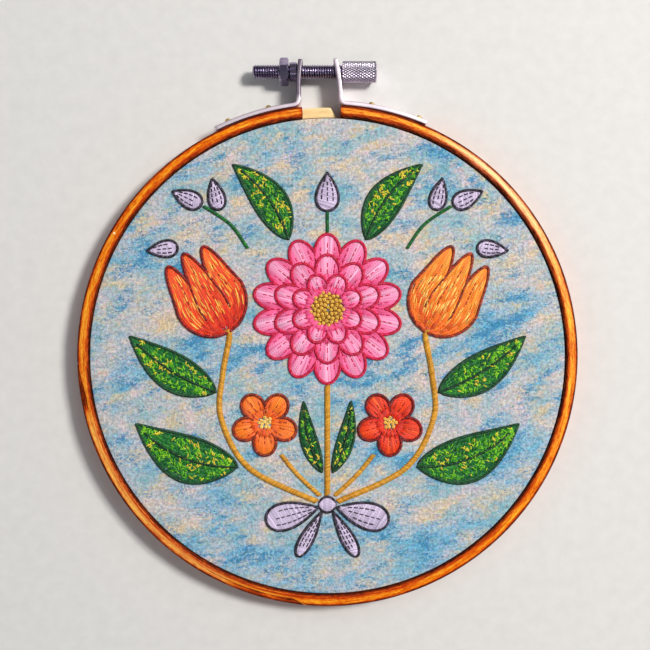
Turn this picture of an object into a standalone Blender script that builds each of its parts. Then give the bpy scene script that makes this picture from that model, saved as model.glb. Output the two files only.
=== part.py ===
"""Embroidered cloth held in a round wooden hoop that lies on its back.

The cloth is stretched over a plain inner ring and turned down between it and a stained outer
ring.  The outer ring is split at the top.  Two bent metal brackets are pinned to it, one on each
side of the split, and a knurled thumb screw with a collar and a lock nut draws them together.
Each stitched area of the embroidery is a thin raised pad on the cloth.

Lengths are in metres.  The hoop's back lies on z = 0, +Y points from the middle of the hoop to
the screw, and the origin is the middle of the whole object's footprint.  Places below are given
from the middle of the hoop, which HOOP_Y sets off from the origin.
"""
import math

import bmesh
import bpy
from mathutils import Matrix, Vector

MM = 0.001

# Fits
SEAT_GAP = 0.3 * MM
RUNNING_GAP = 0.3 * MM

# Outer ring, sawn through at the top
OUTER_RADIUS = 80.0 * MM
RING_WIDTH = 3.6 * MM
RING_HEIGHT = 9.0 * MM
RING_STEPS = 96
INNER_EDGE_ROUND = 1.0 * MM
OUTER_EDGE_ROUND = 0.5 * MM
SPLIT_LEFT_X = -8.1 * MM
SPLIT_RIGHT_X = 4.3 * MM

# Glued lap of the outer ring: columns are angle in degrees and thickness of the outer leaf
LAP_ROWS = (
    (182.0, 0.35 * MM),
    (189.5, 1.85 * MM),
    (262.0, 1.75 * MM),
    (264.5, 0.35 * MM),
)
LAP_STEP_DEGREES = 2.5
LAP_DROP = 0.3 * MM

# Bare wood block that fills part of the split
FILLER_HEIGHT = 5.6 * MM
FILLER_RIGHT_OUTER_X = 1.5 * MM
FILLER_RIGHT_INNER_X = 2.7 * MM

# Cloth, drum tight, and the inner ring under it
CLOTH_RECESS = 1.2 * MM
CLOTH_THICKNESS = 1.0 * MM
CLOTH_EDGE_ROUND = 1.2 * MM
CLOTH_HEM_LIFT = 0.6 * MM
INNER_RING_WIDTH = 3.5 * MM
INNER_RING_ROUND = 0.6 * MM

# Brackets: metal strip with a foot along the ring and a leg up to the screw
STRIP_THICKNESS = 1.4 * MM
STRIP_WIDTH = 8.0 * MM
STRIP_ROUND = 0.3 * MM
BEND_LENGTH = 1.8 * MM
FOOT_STEPS = 9
BEND_STEPS = 5
BRACKET_LEFT = {"far": 116.3, "corner_x": -9.0 * MM, "top_x": -8.6 * MM, "top_y": 94.9 * MM}
BRACKET_RIGHT = {"far": 66.9, "corner_x": 4.95 * MM, "top_x": 2.8 * MM, "top_y": 95.3 * MM}

# Pins through the feet: angles in degrees
PIN_ANGLES = {"pin_1": 113.0, "pin_2": 103.4, "pin_3": 80.0, "pin_4": 68.9}
PIN_HEAD_RADIUS = 1.2 * MM
PIN_HEAD_HEIGHT = 0.8 * MM
PIN_SHANK_RADIUS = 0.5 * MM
PIN_DEPTH = 2.3 * MM
PIN_HOLE_DEPTH = 2.8 * MM
PIN_STEPS = 12

# Thumb screw along X, at mid height of the hoop
SCREW_Y = 91.7 * MM
THREAD_RADIUS = 2.25 * MM
THREAD_TIP_X = -24.1 * MM
TIP_CHAMFER = 0.45 * MM
HEAD_RADIUS = 3.5 * MM
HEAD_START_X = 4.85 * MM
HEAD_END_X = 15.9 * MM
HEAD_CHAMFER = 0.5 * MM
SCREW_STEPS = 32

# Nuts on the screw, left of the left leg
COLLAR_X = (-12.25 * MM, -9.75 * MM)
COLLAR_RADIUS = 3.1 * MM
LOCK_NUT_X = (-15.4 * MM, -12.55 * MM)
LOCK_NUT_CORNER_RADIUS = 4.5 * MM
LOCK_NUT_CHAMFER = 0.3 * MM

# Embroidery: stitched pads that stand proud of the cloth
PAD_THICKNESS = 0.5 * MM
BLOOM_CENTRE = (0.0, 15.0 * MM)
BLOOM_PETALS = 14
BLOOM_VALLEY = 18.5 * MM
BLOOM_TIP = 24.0 * MM
BLOOM_EYE_RADIUS = 6.0 * MM
SMALL_FLOWER_CENTRE = (20.0 * MM, -21.5 * MM)
SMALL_FLOWER_PETALS = 5
SMALL_FLOWER_VALLEY = 5.5 * MM
SMALL_FLOWER_TIP = 10.5 * MM
TULIP_BASE = (31.5 * MM, 7.5 * MM)
TULIP_ANGLE = 60.0
TULIP_HEIGHT = 29.0 * MM
TULIP_WIDTH = 23.0 * MM
KNOT_CENTRE = (0.0, -47.6 * MM)
KNOT_RADIUS = 2.6 * MM

# Leaves on the right: columns are stalk end, point, width and sideways bow of the midrib
LEAVES = {
    "leaf_top": ((12.5 * MM, 37.5 * MM), (30.0 * MM, 61.0 * MM), 11.0 * MM, 2.5 * MM),
    "leaf_side": ((35.9 * MM, -11.5 * MM), (63.0 * MM, 6.0 * MM), 12.0 * MM, -2.0 * MM),
    "leaf_low": ((29.0 * MM, -35.5 * MM), (61.0 * MM, -22.0 * MM), 15.0 * MM, -4.0 * MM),
    "leaf_inner": ((1.9 * MM, -37.0 * MM), (7.5 * MM, -15.0 * MM), 5.0 * MM, -1.4 * MM),
}
# Stems: columns are width and the points that a smooth path runs through
CENTRE_STEM = (1.8 * MM, ((0.0, -9.6 * MM), (0.0, -27.0 * MM), (0.0, -44.4 * MM)))
CENTRE_SPRIG = (1.0 * MM, ((0.0, 39.6 * MM), (0.0, 45.9 * MM)))
SIDE_STEMS = {
    "stem_outer": (1.8 * MM, ((31.1 * MM, 6.7 * MM), (33.5 * MM, -6.0 * MM), (34.0 * MM, -20.0 * MM),
                              (25.0 * MM, -36.0 * MM), (3.6 * MM, -46.6 * MM))),
    "stem_short": (1.4 * MM, ((14.7 * MM, -31.8 * MM), (9.6 * MM, -38.0 * MM), (2.6 * MM, -44.6 * MM))),
    "sprig": (1.0 * MM, ((25.6 * MM, 34.5 * MM), (31.0 * MM, 42.0 * MM), (39.5 * MM, 47.8 * MM))),
}
# Buds and ribbon loops on the right: columns are round end, pointed end and width
DROPS = {
    "bud_outer": ((40.4 * MM, 48.3 * MM), (49.5 * MM, 52.6 * MM), 6.0 * MM),
    "bud_inner": ((34.6 * MM, 46.8 * MM), (36.8 * MM, 56.6 * MM), 5.6 * MM),
    "bud_side": ((48.0 * MM, 34.6 * MM), (57.6 * MM, 33.6 * MM), 5.6 * MM),
    "bow_loop": ((19.5 * MM, -53.0 * MM), (3.0 * MM, -48.6 * MM), 9.0 * MM),
    "bow_tail": ((9.5 * MM, -64.0 * MM), (1.9 * MM, -50.1 * MM), 4.4 * MM),
}
CENTRE_BUD = ((0.0, 46.4 * MM), (0.0, 58.5 * MM), 7.6 * MM)

# Worked out from the sizes above
HOOP_Y = -(BRACKET_RIGHT["top_y"] - OUTER_RADIUS) / 2
RING_INNER_RADIUS = OUTER_RADIUS - RING_WIDTH
CLOTH_RADIUS = RING_INNER_RADIUS - SEAT_GAP
CLOTH_TOP = RING_HEIGHT - CLOTH_RECESS
CLOTH_UNDERSIDE = CLOTH_TOP - CLOTH_THICKNESS
INNER_RING_OUTER_RADIUS = CLOTH_RADIUS - CLOTH_THICKNESS - SEAT_GAP
INNER_RING_INNER_RADIUS = INNER_RING_OUTER_RADIUS - INNER_RING_WIDTH
INNER_RING_HEIGHT = CLOTH_UNDERSIDE - SEAT_GAP
FOOT_RADIUS = OUTER_RADIUS + SEAT_GAP + STRIP_THICKNESS / 2
HEAD_SEAT_RADIUS = FOOT_RADIUS + STRIP_THICKNESS / 2 + SEAT_GAP
MID_HEIGHT = RING_HEIGHT / 2
HOLE_RADIUS = THREAD_RADIUS + RUNNING_GAP
PAD_LOW = CLOTH_TOP + SEAT_GAP
PAD_HIGH = PAD_LOW + PAD_THICKNESS
CUTTER_REACH = 1.0 * MM

# Colour, roughness and metallic value of each material
MATERIALS = {
    "stained_wood": ((0.80, 0.30, 0.03), 0.35, 0.0),
    "bare_wood": ((0.85, 0.65, 0.32), 0.6, 0.0),
    "cloth": ((0.55, 0.66, 0.72), 0.9, 0.0),
    "nickel": ((0.72, 0.70, 0.74), 0.28, 1.0),
    "brass": ((0.80, 0.60, 0.28), 0.35, 1.0),
    "pink_thread": ((0.85, 0.15, 0.35), 0.5, 0.0),
    "gold_thread": ((0.75, 0.45, 0.08), 0.5, 0.0),
    "red_thread": ((0.80, 0.07, 0.02), 0.5, 0.0),
    "orange_thread": ((0.92, 0.32, 0.04), 0.5, 0.0),
    "green_thread": ((0.03, 0.25, 0.04), 0.5, 0.0),
    "white_thread": ((0.75, 0.68, 0.80), 0.5, 0.0),
}


def clear_scene():
    """Remove every object the file opens with."""
    for obj in list(bpy.data.objects):
        bpy.data.objects.remove(obj, do_unlink=True)


def make_collection(name):
    """Add an empty collection to the scene."""
    collection = bpy.data.collections.new(name)
    bpy.context.scene.collection.children.link(collection)
    return collection


def make_material(name):
    """Principled material with the colour, roughness and metallic value of the table."""
    colour, roughness, metallic = MATERIALS[name]
    material = bpy.data.materials.new(name)
    material.use_nodes = True
    shader = material.node_tree.nodes["Principled BSDF"]
    shader.inputs["Base Color"].default_value = (*colour, 1.0)
    shader.inputs["Roughness"].default_value = roughness
    shader.inputs["Metallic"].default_value = metallic
    material.diffuse_color = (*colour, 1.0)
    return material


def add_object(name, data, collection, material=None, z=0.0):
    """Put mesh or curve data in the scene, in the middle of the hoop and z above its back."""
    obj = bpy.data.objects.new(name, data)
    obj.location = (0.0, HOOP_Y, z)
    collection.objects.link(obj)
    if material:
        data.materials.append(material)
    return obj


def as_cutter(obj):
    """Show an object as a guide only."""
    obj.hide_render = True
    obj.display_type = "WIRE"
    return obj


def polar(radius, degrees):
    """Point of the hoop's plane at a radius and an angle from +X."""
    angle = math.radians(degrees)
    return Vector((radius * math.cos(angle), radius * math.sin(angle)))


def rounded_section(inner, outer, low, high, inner_round, outer_round):
    """Ring section as (radius, height) points that run down the outer side and up the inner one."""
    corners = (
        (outer - outer_round, high - outer_round, outer_round, 90.0),
        (outer - outer_round, low + outer_round, outer_round, 0.0),
        (inner + outer_round, low + outer_round, outer_round, -90.0),
        (inner + inner_round, high - inner_round, inner_round, -180.0),
    )
    points = []
    for radius, height, rounding, start in corners:
        for turn in (0.0, 45.0, 90.0):
            angle = math.radians(start - turn)
            points.append((radius + rounding * math.cos(angle), height + rounding * math.sin(angle)))
    return points


def turned(name, profile, closed, steps, collection, material=None, z=0.0):
    """Solid turned about Z from a profile of (radius, height) points with a Screw modifier."""
    mesh = bpy.data.meshes.new(name)
    edges = [(k, k + 1) for k in range(len(profile) - 1)]
    if closed:
        edges.append((len(profile) - 1, 0))
    mesh.from_pydata([(radius, 0.0, height) for radius, height in profile], edges, [])
    obj = add_object(name, mesh, collection, material, z)
    screw = obj.modifiers.new("Turn", "SCREW")
    screw.steps = steps
    screw.render_steps = steps
    screw.use_merge_vertices = True
    screw.merge_threshold = 0.00001
    screw.use_smooth_shade = True
    return obj


def flat_outline(name, outlines, low, high, collection, material=None):
    """Plate between two heights, as a filled 2D curve of its outline and any hole's outline."""
    curve = bpy.data.curves.new(name, "CURVE")
    curve.dimensions = "2D"
    curve.fill_mode = "BOTH"
    curve.extrude = (high - low) / 2
    for points in outlines:
        spline = curve.splines.new("POLY")
        spline.points.add(len(points) - 1)
        for point, (x, y) in zip(spline.points, points):
            point.co = (x, y, 0.0, 1.0)
        spline.use_cyclic_u = True
    return add_object(name, curve, collection, material, (low + high) / 2)


def solid_from_curve(obj):
    """Replace a filled curve by its closed mesh, which a Boolean or Bevel can work on."""
    name = obj.name
    collection = obj.users_collection[0]
    evaluated = obj.evaluated_get(bpy.context.evaluated_depsgraph_get())
    mesh = bpy.data.meshes.new_from_object(evaluated)
    solid = bmesh.new()
    solid.from_mesh(mesh)
    bmesh.ops.remove_doubles(solid, verts=solid.verts, dist=0.00001)
    bmesh.ops.dissolve_limit(solid, angle_limit=math.radians(0.5), verts=solid.verts, edges=solid.edges)
    solid.to_mesh(mesh)
    solid.free()
    place = obj.matrix_world.copy()
    bpy.data.objects.remove(obj, do_unlink=True)
    made = bpy.data.objects.new(name, mesh)
    made.matrix_world = place
    collection.objects.link(made)
    return made


def cut(obj, cutter, operation="DIFFERENCE"):
    """Boolean with the exact solver."""
    boolean = obj.modifiers.new("Cut " + cutter.name, "BOOLEAN")
    boolean.operation = operation
    boolean.solver = "EXACT"
    boolean.object = cutter


def cylinder_cutter(name, radius, start, end, collection):
    """Round cutter between two points given from the middle of the hoop."""
    axis = end - start
    mesh = bpy.data.meshes.new(name)
    shape = bmesh.new()
    turn = axis.to_track_quat("Z", "Y").to_matrix().to_4x4()
    place = Matrix.Translation((start + end) / 2) @ turn
    bmesh.ops.create_cone(shape, cap_ends=True, segments=24, radius1=radius, radius2=radius,
                          depth=axis.length, matrix=place)
    shape.to_mesh(mesh)
    shape.free()
    return as_cutter(add_object(name, mesh, collection))


def box_cutter(name, low, high, collection):
    """Box cutter between two corners given from the middle of the hoop."""
    mesh = bpy.data.meshes.new(name)
    shape = bmesh.new()
    size = high - low
    place = Matrix.Translation((low + high) / 2) @ Matrix.Diagonal((*size, 1.0))
    bmesh.ops.create_cube(shape, size=1.0, matrix=place)
    shape.to_mesh(mesh)
    shape.free()
    return as_cutter(add_object(name, mesh, collection))


def band_outline(path, width):
    """Closed outline of a band of even width along a path."""
    left = []
    right = []
    for index, point in enumerate(path):
        before = path[max(index - 1, 0)]
        after = path[min(index + 1, len(path) - 1)]
        along = (after - before).normalized()
        aside = Vector((-along.y, along.x)) * width / 2
        left.append(point + aside)
        right.append(point - aside)
    return left + right[::-1]


def smooth_path(knots, steps):
    """Catmull-Rom curve through the knots, with the given steps in each span."""
    ends = [knots[0], *knots, knots[-1]]
    path = []
    for index in range(1, len(ends) - 2):
        before, start, end, after = (Vector(point) for point in ends[index - 1:index + 3])
        for step in range(steps):
            t = step / steps
            path.append(0.5 * (2 * start + (end - before) * t
                               + (2 * before - 5 * start + 4 * end - after) * t ** 2
                               + (3 * start - before - 3 * end + after) * t ** 3))
    path.append(Vector(knots[-1]))
    return path


def mirrored(points):
    """The same outline on the other side of the hoop's centre line."""
    return [Vector((-x, y)) for x, y in points]


def rosette_outline(centre, petals, valley, tip, turn, points_each=8):
    """Flower seen from above: the radius swings between valley and tip as a rounded cosine."""
    points = []
    count = petals * points_each
    for index in range(count):
        degrees = 360.0 * index / count
        lobe = abs(math.cos(math.radians(petals * degrees / 2))) ** 0.75
        points.append(Vector(centre) + polar(valley + (tip - valley) * lobe, degrees + turn))
    return points


def disc_outline(centre, radius, steps=24):
    """Round spot."""
    return [Vector(centre) + polar(radius, 360.0 * step / steps) for step in range(steps)]


def leaf_outline(stalk_end, point, width, bow, steps=10):
    """Pointed leaf: a half width that swells as a sine on both sides of a bowed midrib."""
    start = Vector(stalk_end)
    along = Vector(point) - start
    aside = Vector((-along.y, along.x)).normalized()
    sides = []
    for side in (-1, 1):
        edge = []
        for step in range(steps + 1):
            t = step / steps
            half = width / 2 * max(math.sin(math.pi * t ** 0.8), 0.0) ** 0.9
            edge.append(start + along * t + aside * (4 * bow * t * (1 - t) + side * half))
        sides.append(edge)
    return sides[0] + sides[1][-2:0:-1]


def drop_outline(round_end, point, width, steps=18):
    """Drop: a sine across, drawn in towards the pointed end by half a cosine."""
    start = Vector(round_end)
    along = Vector(point) - start
    aside = Vector((-along.y, along.x)).normalized()
    points = []
    for step in range(steps):
        t = 2 * math.pi * step / steps
        across = 0.65 * width * math.sin(t) * abs(math.cos(t / 2))
        points.append(start + along * (0.5 - 0.5 * math.cos(t)) + aside * across)
    return points


def tulip_outline(base, degrees, height, width, steps=24):
    """Tulip from the side: half an ellipse for the cup and three rounded tips for the rim."""
    along = polar(1.0, degrees)
    aside = Vector((-along.y, along.x))
    shoulder = 0.42 * height
    points = []
    for step in range(steps + 1):
        across = 2 * step / steps - 1
        tips = abs(math.cos(1.5 * math.pi * across)) ** 0.8
        rise = height * (0.70 + 0.30 * tips) * (1 - 0.06 * abs(across))
        points.append(Vector(base) + along * rise + aside * across * width * 0.43)
    for step in range(1, steps // 2):
        angle = math.pi * step / (steps // 2)
        rise = shoulder * (1 - math.sin(angle))
        points.append(Vector(base) + along * rise + aside * width / 2 * math.cos(angle))
    return points


def lap_thickness(degrees):
    """Thickness of the lap's outer leaf at an angle, read along LAP_ROWS."""
    for (start, thin), (end, thick) in zip(LAP_ROWS, LAP_ROWS[1:]):
        if degrees <= end:
            return thin + (thick - thin) * (degrees - start) / (end - start)
    return LAP_ROWS[-1][1]


def lap_outline(extra):
    """Plan of the lap's outer leaf, grown on its inner side and both ends by extra."""
    first = LAP_ROWS[0][0]
    last = LAP_ROWS[-1][0]
    stretch = math.degrees(extra / OUTER_RADIUS)
    count = round((last - first) / LAP_STEP_DEGREES)
    inner = []
    outer = []
    for index in range(count + 1):
        share = index / count
        read_at = first + (last - first) * share
        degrees = read_at + stretch * (2 * share - 1)
        inner.append(polar(OUTER_RADIUS - lap_thickness(read_at) - extra, degrees))
        outer.append(polar(OUTER_RADIUS + CUTTER_REACH, degrees))
    return inner + outer[::-1]


def bracket_path(far, corner_x, top_x, top_y):
    """Middle line of a bracket: an arc for the foot, a soft bend and a straight leg."""
    corner = Vector((corner_x, math.sqrt(FOOT_RADIUS ** 2 - corner_x ** 2)))
    corner_angle = math.degrees(math.atan2(corner.y, corner.x))
    bend_angle = math.degrees(BEND_LENGTH / FOOT_RADIUS)
    near = corner_angle + math.copysign(bend_angle, far - corner_angle)
    path = [polar(FOOT_RADIUS, far + (near - far) * step / FOOT_STEPS) for step in range(FOOT_STEPS + 1)]
    top = Vector((top_x, top_y))
    foot_end = path[-1]
    leg_start = corner + (top - corner).normalized() * BEND_LENGTH
    for step in range(1, BEND_STEPS):
        t = step / BEND_STEPS
        path.append(foot_end * (1 - t) ** 2 + corner * 2 * t * (1 - t) + leg_start * t ** 2)
    return path + [leg_start, top]


def pin_hole_cutter(name, degrees, cutters):
    """Clearance hole for one pin, through a bracket's foot and into the ring."""
    start = polar(OUTER_RADIUS - PIN_HOLE_DEPTH, degrees).to_3d()
    end = polar(HEAD_SEAT_RADIUS + CUTTER_REACH, degrees).to_3d()
    height = Vector((0.0, 0.0, MID_HEIGHT))
    return cylinder_cutter(name, PIN_SHANK_RADIUS + SEAT_GAP, start + height, end + height, cutters)


def make_outer_ring(parts, cutters, material, pin_cutters):
    """Stained ring, sawn through at the top and planed away on its outer side for the lap."""
    section = rounded_section(RING_INNER_RADIUS, OUTER_RADIUS, 0.0, RING_HEIGHT,
                              INNER_EDGE_ROUND, OUTER_EDGE_ROUND)
    ring = turned("outer_ring", section, True, RING_STEPS, parts, material)
    split_low = Vector((SPLIT_LEFT_X, RING_INNER_RADIUS - 3 * CUTTER_REACH, -CUTTER_REACH))
    split_high = Vector((SPLIT_RIGHT_X, OUTER_RADIUS + CUTTER_REACH, RING_HEIGHT + CUTTER_REACH))
    cut(ring, box_cutter("split", split_low, split_high, cutters))
    recess = solid_from_curve(flat_outline("lap_recess", [lap_outline(SEAT_GAP)], -CUTTER_REACH,
                                           RING_HEIGHT + CUTTER_REACH, cutters))
    cut(ring, as_cutter(recess))
    for cutter in pin_cutters.values():
        cut(ring, cutter)
    return ring


def make_lap_leaf(parts, cutters, material):
    """Outer leaf of the ring's long glued lap, a little lower than the ring's face."""
    section = rounded_section(RING_INNER_RADIUS + CUTTER_REACH / 2, OUTER_RADIUS, 0.0,
                              RING_HEIGHT - LAP_DROP, OUTER_EDGE_ROUND, OUTER_EDGE_ROUND)
    leaf = turned("outer_ring_lap", section, True, RING_STEPS, parts, material)
    block = solid_from_curve(flat_outline("lap_block", [lap_outline(0.0)], -CUTTER_REACH,
                                          RING_HEIGHT + CUTTER_REACH, cutters))
    cut(leaf, as_cutter(block), "INTERSECT")
    return leaf


def make_split_filler(parts, material):
    """Bare wood block against the ring's left end, with a slanted right end."""
    inner_radius = RING_INNER_RADIUS + SEAT_GAP
    outer_radius = OUTER_RADIUS - SEAT_GAP
    left_x = SPLIT_LEFT_X + SEAT_GAP
    outline = []
    for radius, start_x, end_x in ((outer_radius, left_x, FILLER_RIGHT_OUTER_X),
                                   (inner_radius, FILLER_RIGHT_INNER_X, left_x)):
        for step in range(5):
            x = start_x + (end_x - start_x) * step / 4
            outline.append(Vector((x, math.sqrt(radius ** 2 - x ** 2))))
    return flat_outline("split_filler", [outline], 0.0, FILLER_HEIGHT, parts, material)


def make_inner_ring(parts, material):
    """Plain inner ring that the cloth is stretched over."""
    section = rounded_section(INNER_RING_INNER_RADIUS, INNER_RING_OUTER_RADIUS, 0.0,
                              INNER_RING_HEIGHT, INNER_RING_ROUND, INNER_RING_ROUND)
    return turned("inner_ring", section, True, RING_STEPS, parts, material)


def make_cloth(parts, material):
    """Cloth as a tight round sheet whose rim is turned down between the two rings."""
    rim = CLOTH_RADIUS
    skirt_inner = rim - CLOTH_THICKNESS
    profile = [(0.0, CLOTH_TOP)]
    for turn in (90.0, 60.0, 30.0, 0.0):
        angle = math.radians(turn)
        profile.append((rim - CLOTH_EDGE_ROUND * (1 - math.cos(angle)),
                        CLOTH_TOP - CLOTH_EDGE_ROUND * (1 - math.sin(angle))))
    profile.append((rim, CLOTH_HEM_LIFT))
    profile.append((skirt_inner, CLOTH_HEM_LIFT))
    profile.append((skirt_inner, CLOTH_UNDERSIDE - SEAT_GAP))
    profile.append((skirt_inner - SEAT_GAP, CLOTH_UNDERSIDE))
    profile.append((0.0, CLOTH_UNDERSIDE))
    return turned("cloth", profile, False, RING_STEPS, parts, material)


def make_bracket(name, shape, parts, cutters, material, pin_cutters):
    """Bent metal strip with a hole for the screw and two for its pins."""
    low = MID_HEIGHT - STRIP_WIDTH / 2
    outline = band_outline(bracket_path(**shape), STRIP_THICKNESS)
    strip = solid_from_curve(flat_outline(name, [outline], low, low + STRIP_WIDTH, parts))
    strip.data.materials.append(material)
    rounding = strip.modifiers.new("Rounded edges", "BEVEL")
    rounding.width = STRIP_ROUND
    rounding.segments = 2
    rounding.limit_method = "ANGLE"
    rounding.angle_limit = math.radians(50.0)
    centre = Vector((shape["top_x"], SCREW_Y, MID_HEIGHT))
    reach = Vector((4 * CUTTER_REACH, 0.0, 0.0))
    cut(strip, cylinder_cutter(name + "_screw_hole", HOLE_RADIUS, centre - reach, centre + reach, cutters))
    for cutter in pin_cutters:
        cut(strip, cutter)
    return strip


def make_pin(name, degrees, parts, material):
    """Domed pin that holds a bracket's foot to the ring, turned about its own axis."""
    head_low = HEAD_SEAT_RADIUS
    tip = OUTER_RADIUS - PIN_DEPTH
    profile = []
    for turn in (90.0, 60.0, 30.0, 0.0):
        angle = math.radians(turn)
        profile.append((PIN_HEAD_RADIUS * math.cos(angle), head_low + PIN_HEAD_HEIGHT * math.sin(angle)))
    profile[0] = (0.0, head_low + PIN_HEAD_HEIGHT)
    profile += [(PIN_SHANK_RADIUS, head_low), (PIN_SHANK_RADIUS, tip + PIN_SHANK_RADIUS), (0.0, tip)]
    pin = turned(name, profile, False, PIN_STEPS, parts, material, MID_HEIGHT)
    pin.rotation_euler = (0.0, math.radians(90.0), math.radians(degrees))
    return pin


def make_thumb_screw(parts, material):
    """Knurled head and threaded shank, turned about X, with the origin on that axis."""
    profile = [
        (0.0, HEAD_END_X),
        (HEAD_RADIUS - HEAD_CHAMFER, HEAD_END_X),
        (HEAD_RADIUS, HEAD_END_X - HEAD_CHAMFER),
        (HEAD_RADIUS, HEAD_START_X + HEAD_CHAMFER),
        (HEAD_RADIUS - HEAD_CHAMFER, HEAD_START_X),
        (THREAD_RADIUS, HEAD_START_X),
        (THREAD_RADIUS, THREAD_TIP_X + TIP_CHAMFER),
        (THREAD_RADIUS - TIP_CHAMFER, THREAD_TIP_X),
        (0.0, THREAD_TIP_X),
    ]
    screw = turned("thumb_screw", profile, False, SCREW_STEPS, parts, material, MID_HEIGHT)
    screw.location.y += SCREW_Y
    screw.rotation_euler = (0.0, math.radians(90.0), 0.0)
    return screw


def make_collar(parts, material):
    """Round threaded collar against the left leg."""
    left, right = COLLAR_X
    profile = [(HOLE_RADIUS, right), (COLLAR_RADIUS, right), (COLLAR_RADIUS, left), (HOLE_RADIUS, left)]
    collar = turned("nut_collar", profile, True, SCREW_STEPS, parts, material, MID_HEIGHT)
    collar.location.y += SCREW_Y
    collar.rotation_euler = (0.0, math.radians(90.0), 0.0)
    return collar


def make_lock_nut(parts, cutters, material):
    """Hexagonal lock nut beside the collar, with two corners in the hoop's plane."""
    left, right = LOCK_NUT_X
    mesh = bpy.data.meshes.new("lock_nut")
    shape = bmesh.new()
    turn = Matrix.Rotation(math.radians(90.0), 4, "Y")
    place = Matrix.Translation(((left + right) / 2, SCREW_Y, MID_HEIGHT)) @ turn
    bmesh.ops.create_cone(shape, cap_ends=True, segments=6, radius1=LOCK_NUT_CORNER_RADIUS,
                          radius2=LOCK_NUT_CORNER_RADIUS, depth=right - left, matrix=place)
    shape.to_mesh(mesh)
    shape.free()
    nut = add_object("lock_nut", mesh, parts, material)
    rounding = nut.modifiers.new("Chamfer", "BEVEL")
    rounding.width = LOCK_NUT_CHAMFER
    rounding.segments = 1
    start = Vector((left - CUTTER_REACH, SCREW_Y, MID_HEIGHT))
    end = Vector((right + CUTTER_REACH, SCREW_Y, MID_HEIGHT))
    cut(nut, cylinder_cutter("lock_nut_bore", HOLE_RADIUS, start, end, cutters))
    return nut


def make_embroidery(parts, paint):
    """One thin pad for each stitched area, symmetrical about the hoop's centre line."""
    def pad(name, outline, material, hole=None):
        outlines = [outline, hole] if hole else [outline]
        flat_outline(name, outlines, PAD_LOW, PAD_HIGH, parts, paint[material])

    def pair(name, outline, left_material, right_material):
        pad(name + "_right", outline, right_material)
        pad(name + "_left", mirrored(outline), left_material)

    petals = rosette_outline(BLOOM_CENTRE, BLOOM_PETALS, BLOOM_VALLEY, BLOOM_TIP, 90.0)
    pad("bloom_petals", petals, "pink_thread", disc_outline(BLOOM_CENTRE, BLOOM_EYE_RADIUS + SEAT_GAP))
    pad("bloom_eye", disc_outline(BLOOM_CENTRE, BLOOM_EYE_RADIUS), "gold_thread")
    small = rosette_outline(SMALL_FLOWER_CENTRE, SMALL_FLOWER_PETALS, SMALL_FLOWER_VALLEY,
                            SMALL_FLOWER_TIP, 126.0)
    pair("small_flower", small, "orange_thread", "red_thread")
    tulip = tulip_outline(TULIP_BASE, TULIP_ANGLE, TULIP_HEIGHT, TULIP_WIDTH)
    pair("tulip", tulip, "red_thread", "orange_thread")
    for name, row in LEAVES.items():
        pair(name, leaf_outline(*row), "green_thread", "green_thread")
    for name, (width, knots) in SIDE_STEMS.items():
        thread = "green_thread" if name == "sprig" else "gold_thread"
        pair(name, band_outline(smooth_path(knots, 5), width), thread, thread)
    for name, row in DROPS.items():
        pair(name, drop_outline(*row), "white_thread", "white_thread")
    pad("stem_centre", band_outline(smooth_path(CENTRE_STEM[1], 2), CENTRE_STEM[0]), "gold_thread")
    pad("sprig_centre", band_outline(smooth_path(CENTRE_SPRIG[1], 2), CENTRE_SPRIG[0]), "green_thread")
    pad("bud_centre", drop_outline(*CENTRE_BUD), "white_thread")
    pad("bow_knot", disc_outline(KNOT_CENTRE, KNOT_RADIUS), "white_thread")


def main():
    """Build the whole object."""
    clear_scene()
    parts = make_collection("embroidered_cloth_in_wooden_hoop")
    cutters = make_collection("cutters")
    paint = {name: make_material(name) for name in MATERIALS}
    pin_cutters = {name: pin_hole_cutter(name + "_hole", degrees, cutters)
                   for name, degrees in PIN_ANGLES.items()}
    make_outer_ring(parts, cutters, paint["stained_wood"], pin_cutters)
    make_lap_leaf(parts, cutters, paint["stained_wood"])
    make_split_filler(parts, paint["bare_wood"])
    make_inner_ring(parts, paint["bare_wood"])
    make_cloth(parts, paint["cloth"])
    make_bracket("bracket_left", BRACKET_LEFT, parts, cutters, paint["nickel"],
                 (pin_cutters["pin_1"], pin_cutters["pin_2"]))
    make_bracket("bracket_right", BRACKET_RIGHT, parts, cutters, paint["nickel"],
                 (pin_cutters["pin_3"], pin_cutters["pin_4"]))
    for name, degrees in PIN_ANGLES.items():
        make_pin(name, degrees, parts, paint["brass"])
    make_thumb_screw(parts, paint["nickel"])
    make_collar(parts, paint["nickel"])
    make_lock_nut(parts, cutters, paint["nickel"])
    make_embroidery(parts, paint)


main()
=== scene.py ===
"""Looks of the embroidered cloth in its round wooden hoop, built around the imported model.

Lengths are in millimetres and places are given from the middle of the hoop, with z from the surface
that the hoop lies on; place() turns them into the frame's metres.  Every new piece is a surface
worked out with numpy: rings of points carried along the hoop, a strip, an axis or a stitch.
"""
import math
from dataclasses import dataclass, field

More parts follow.
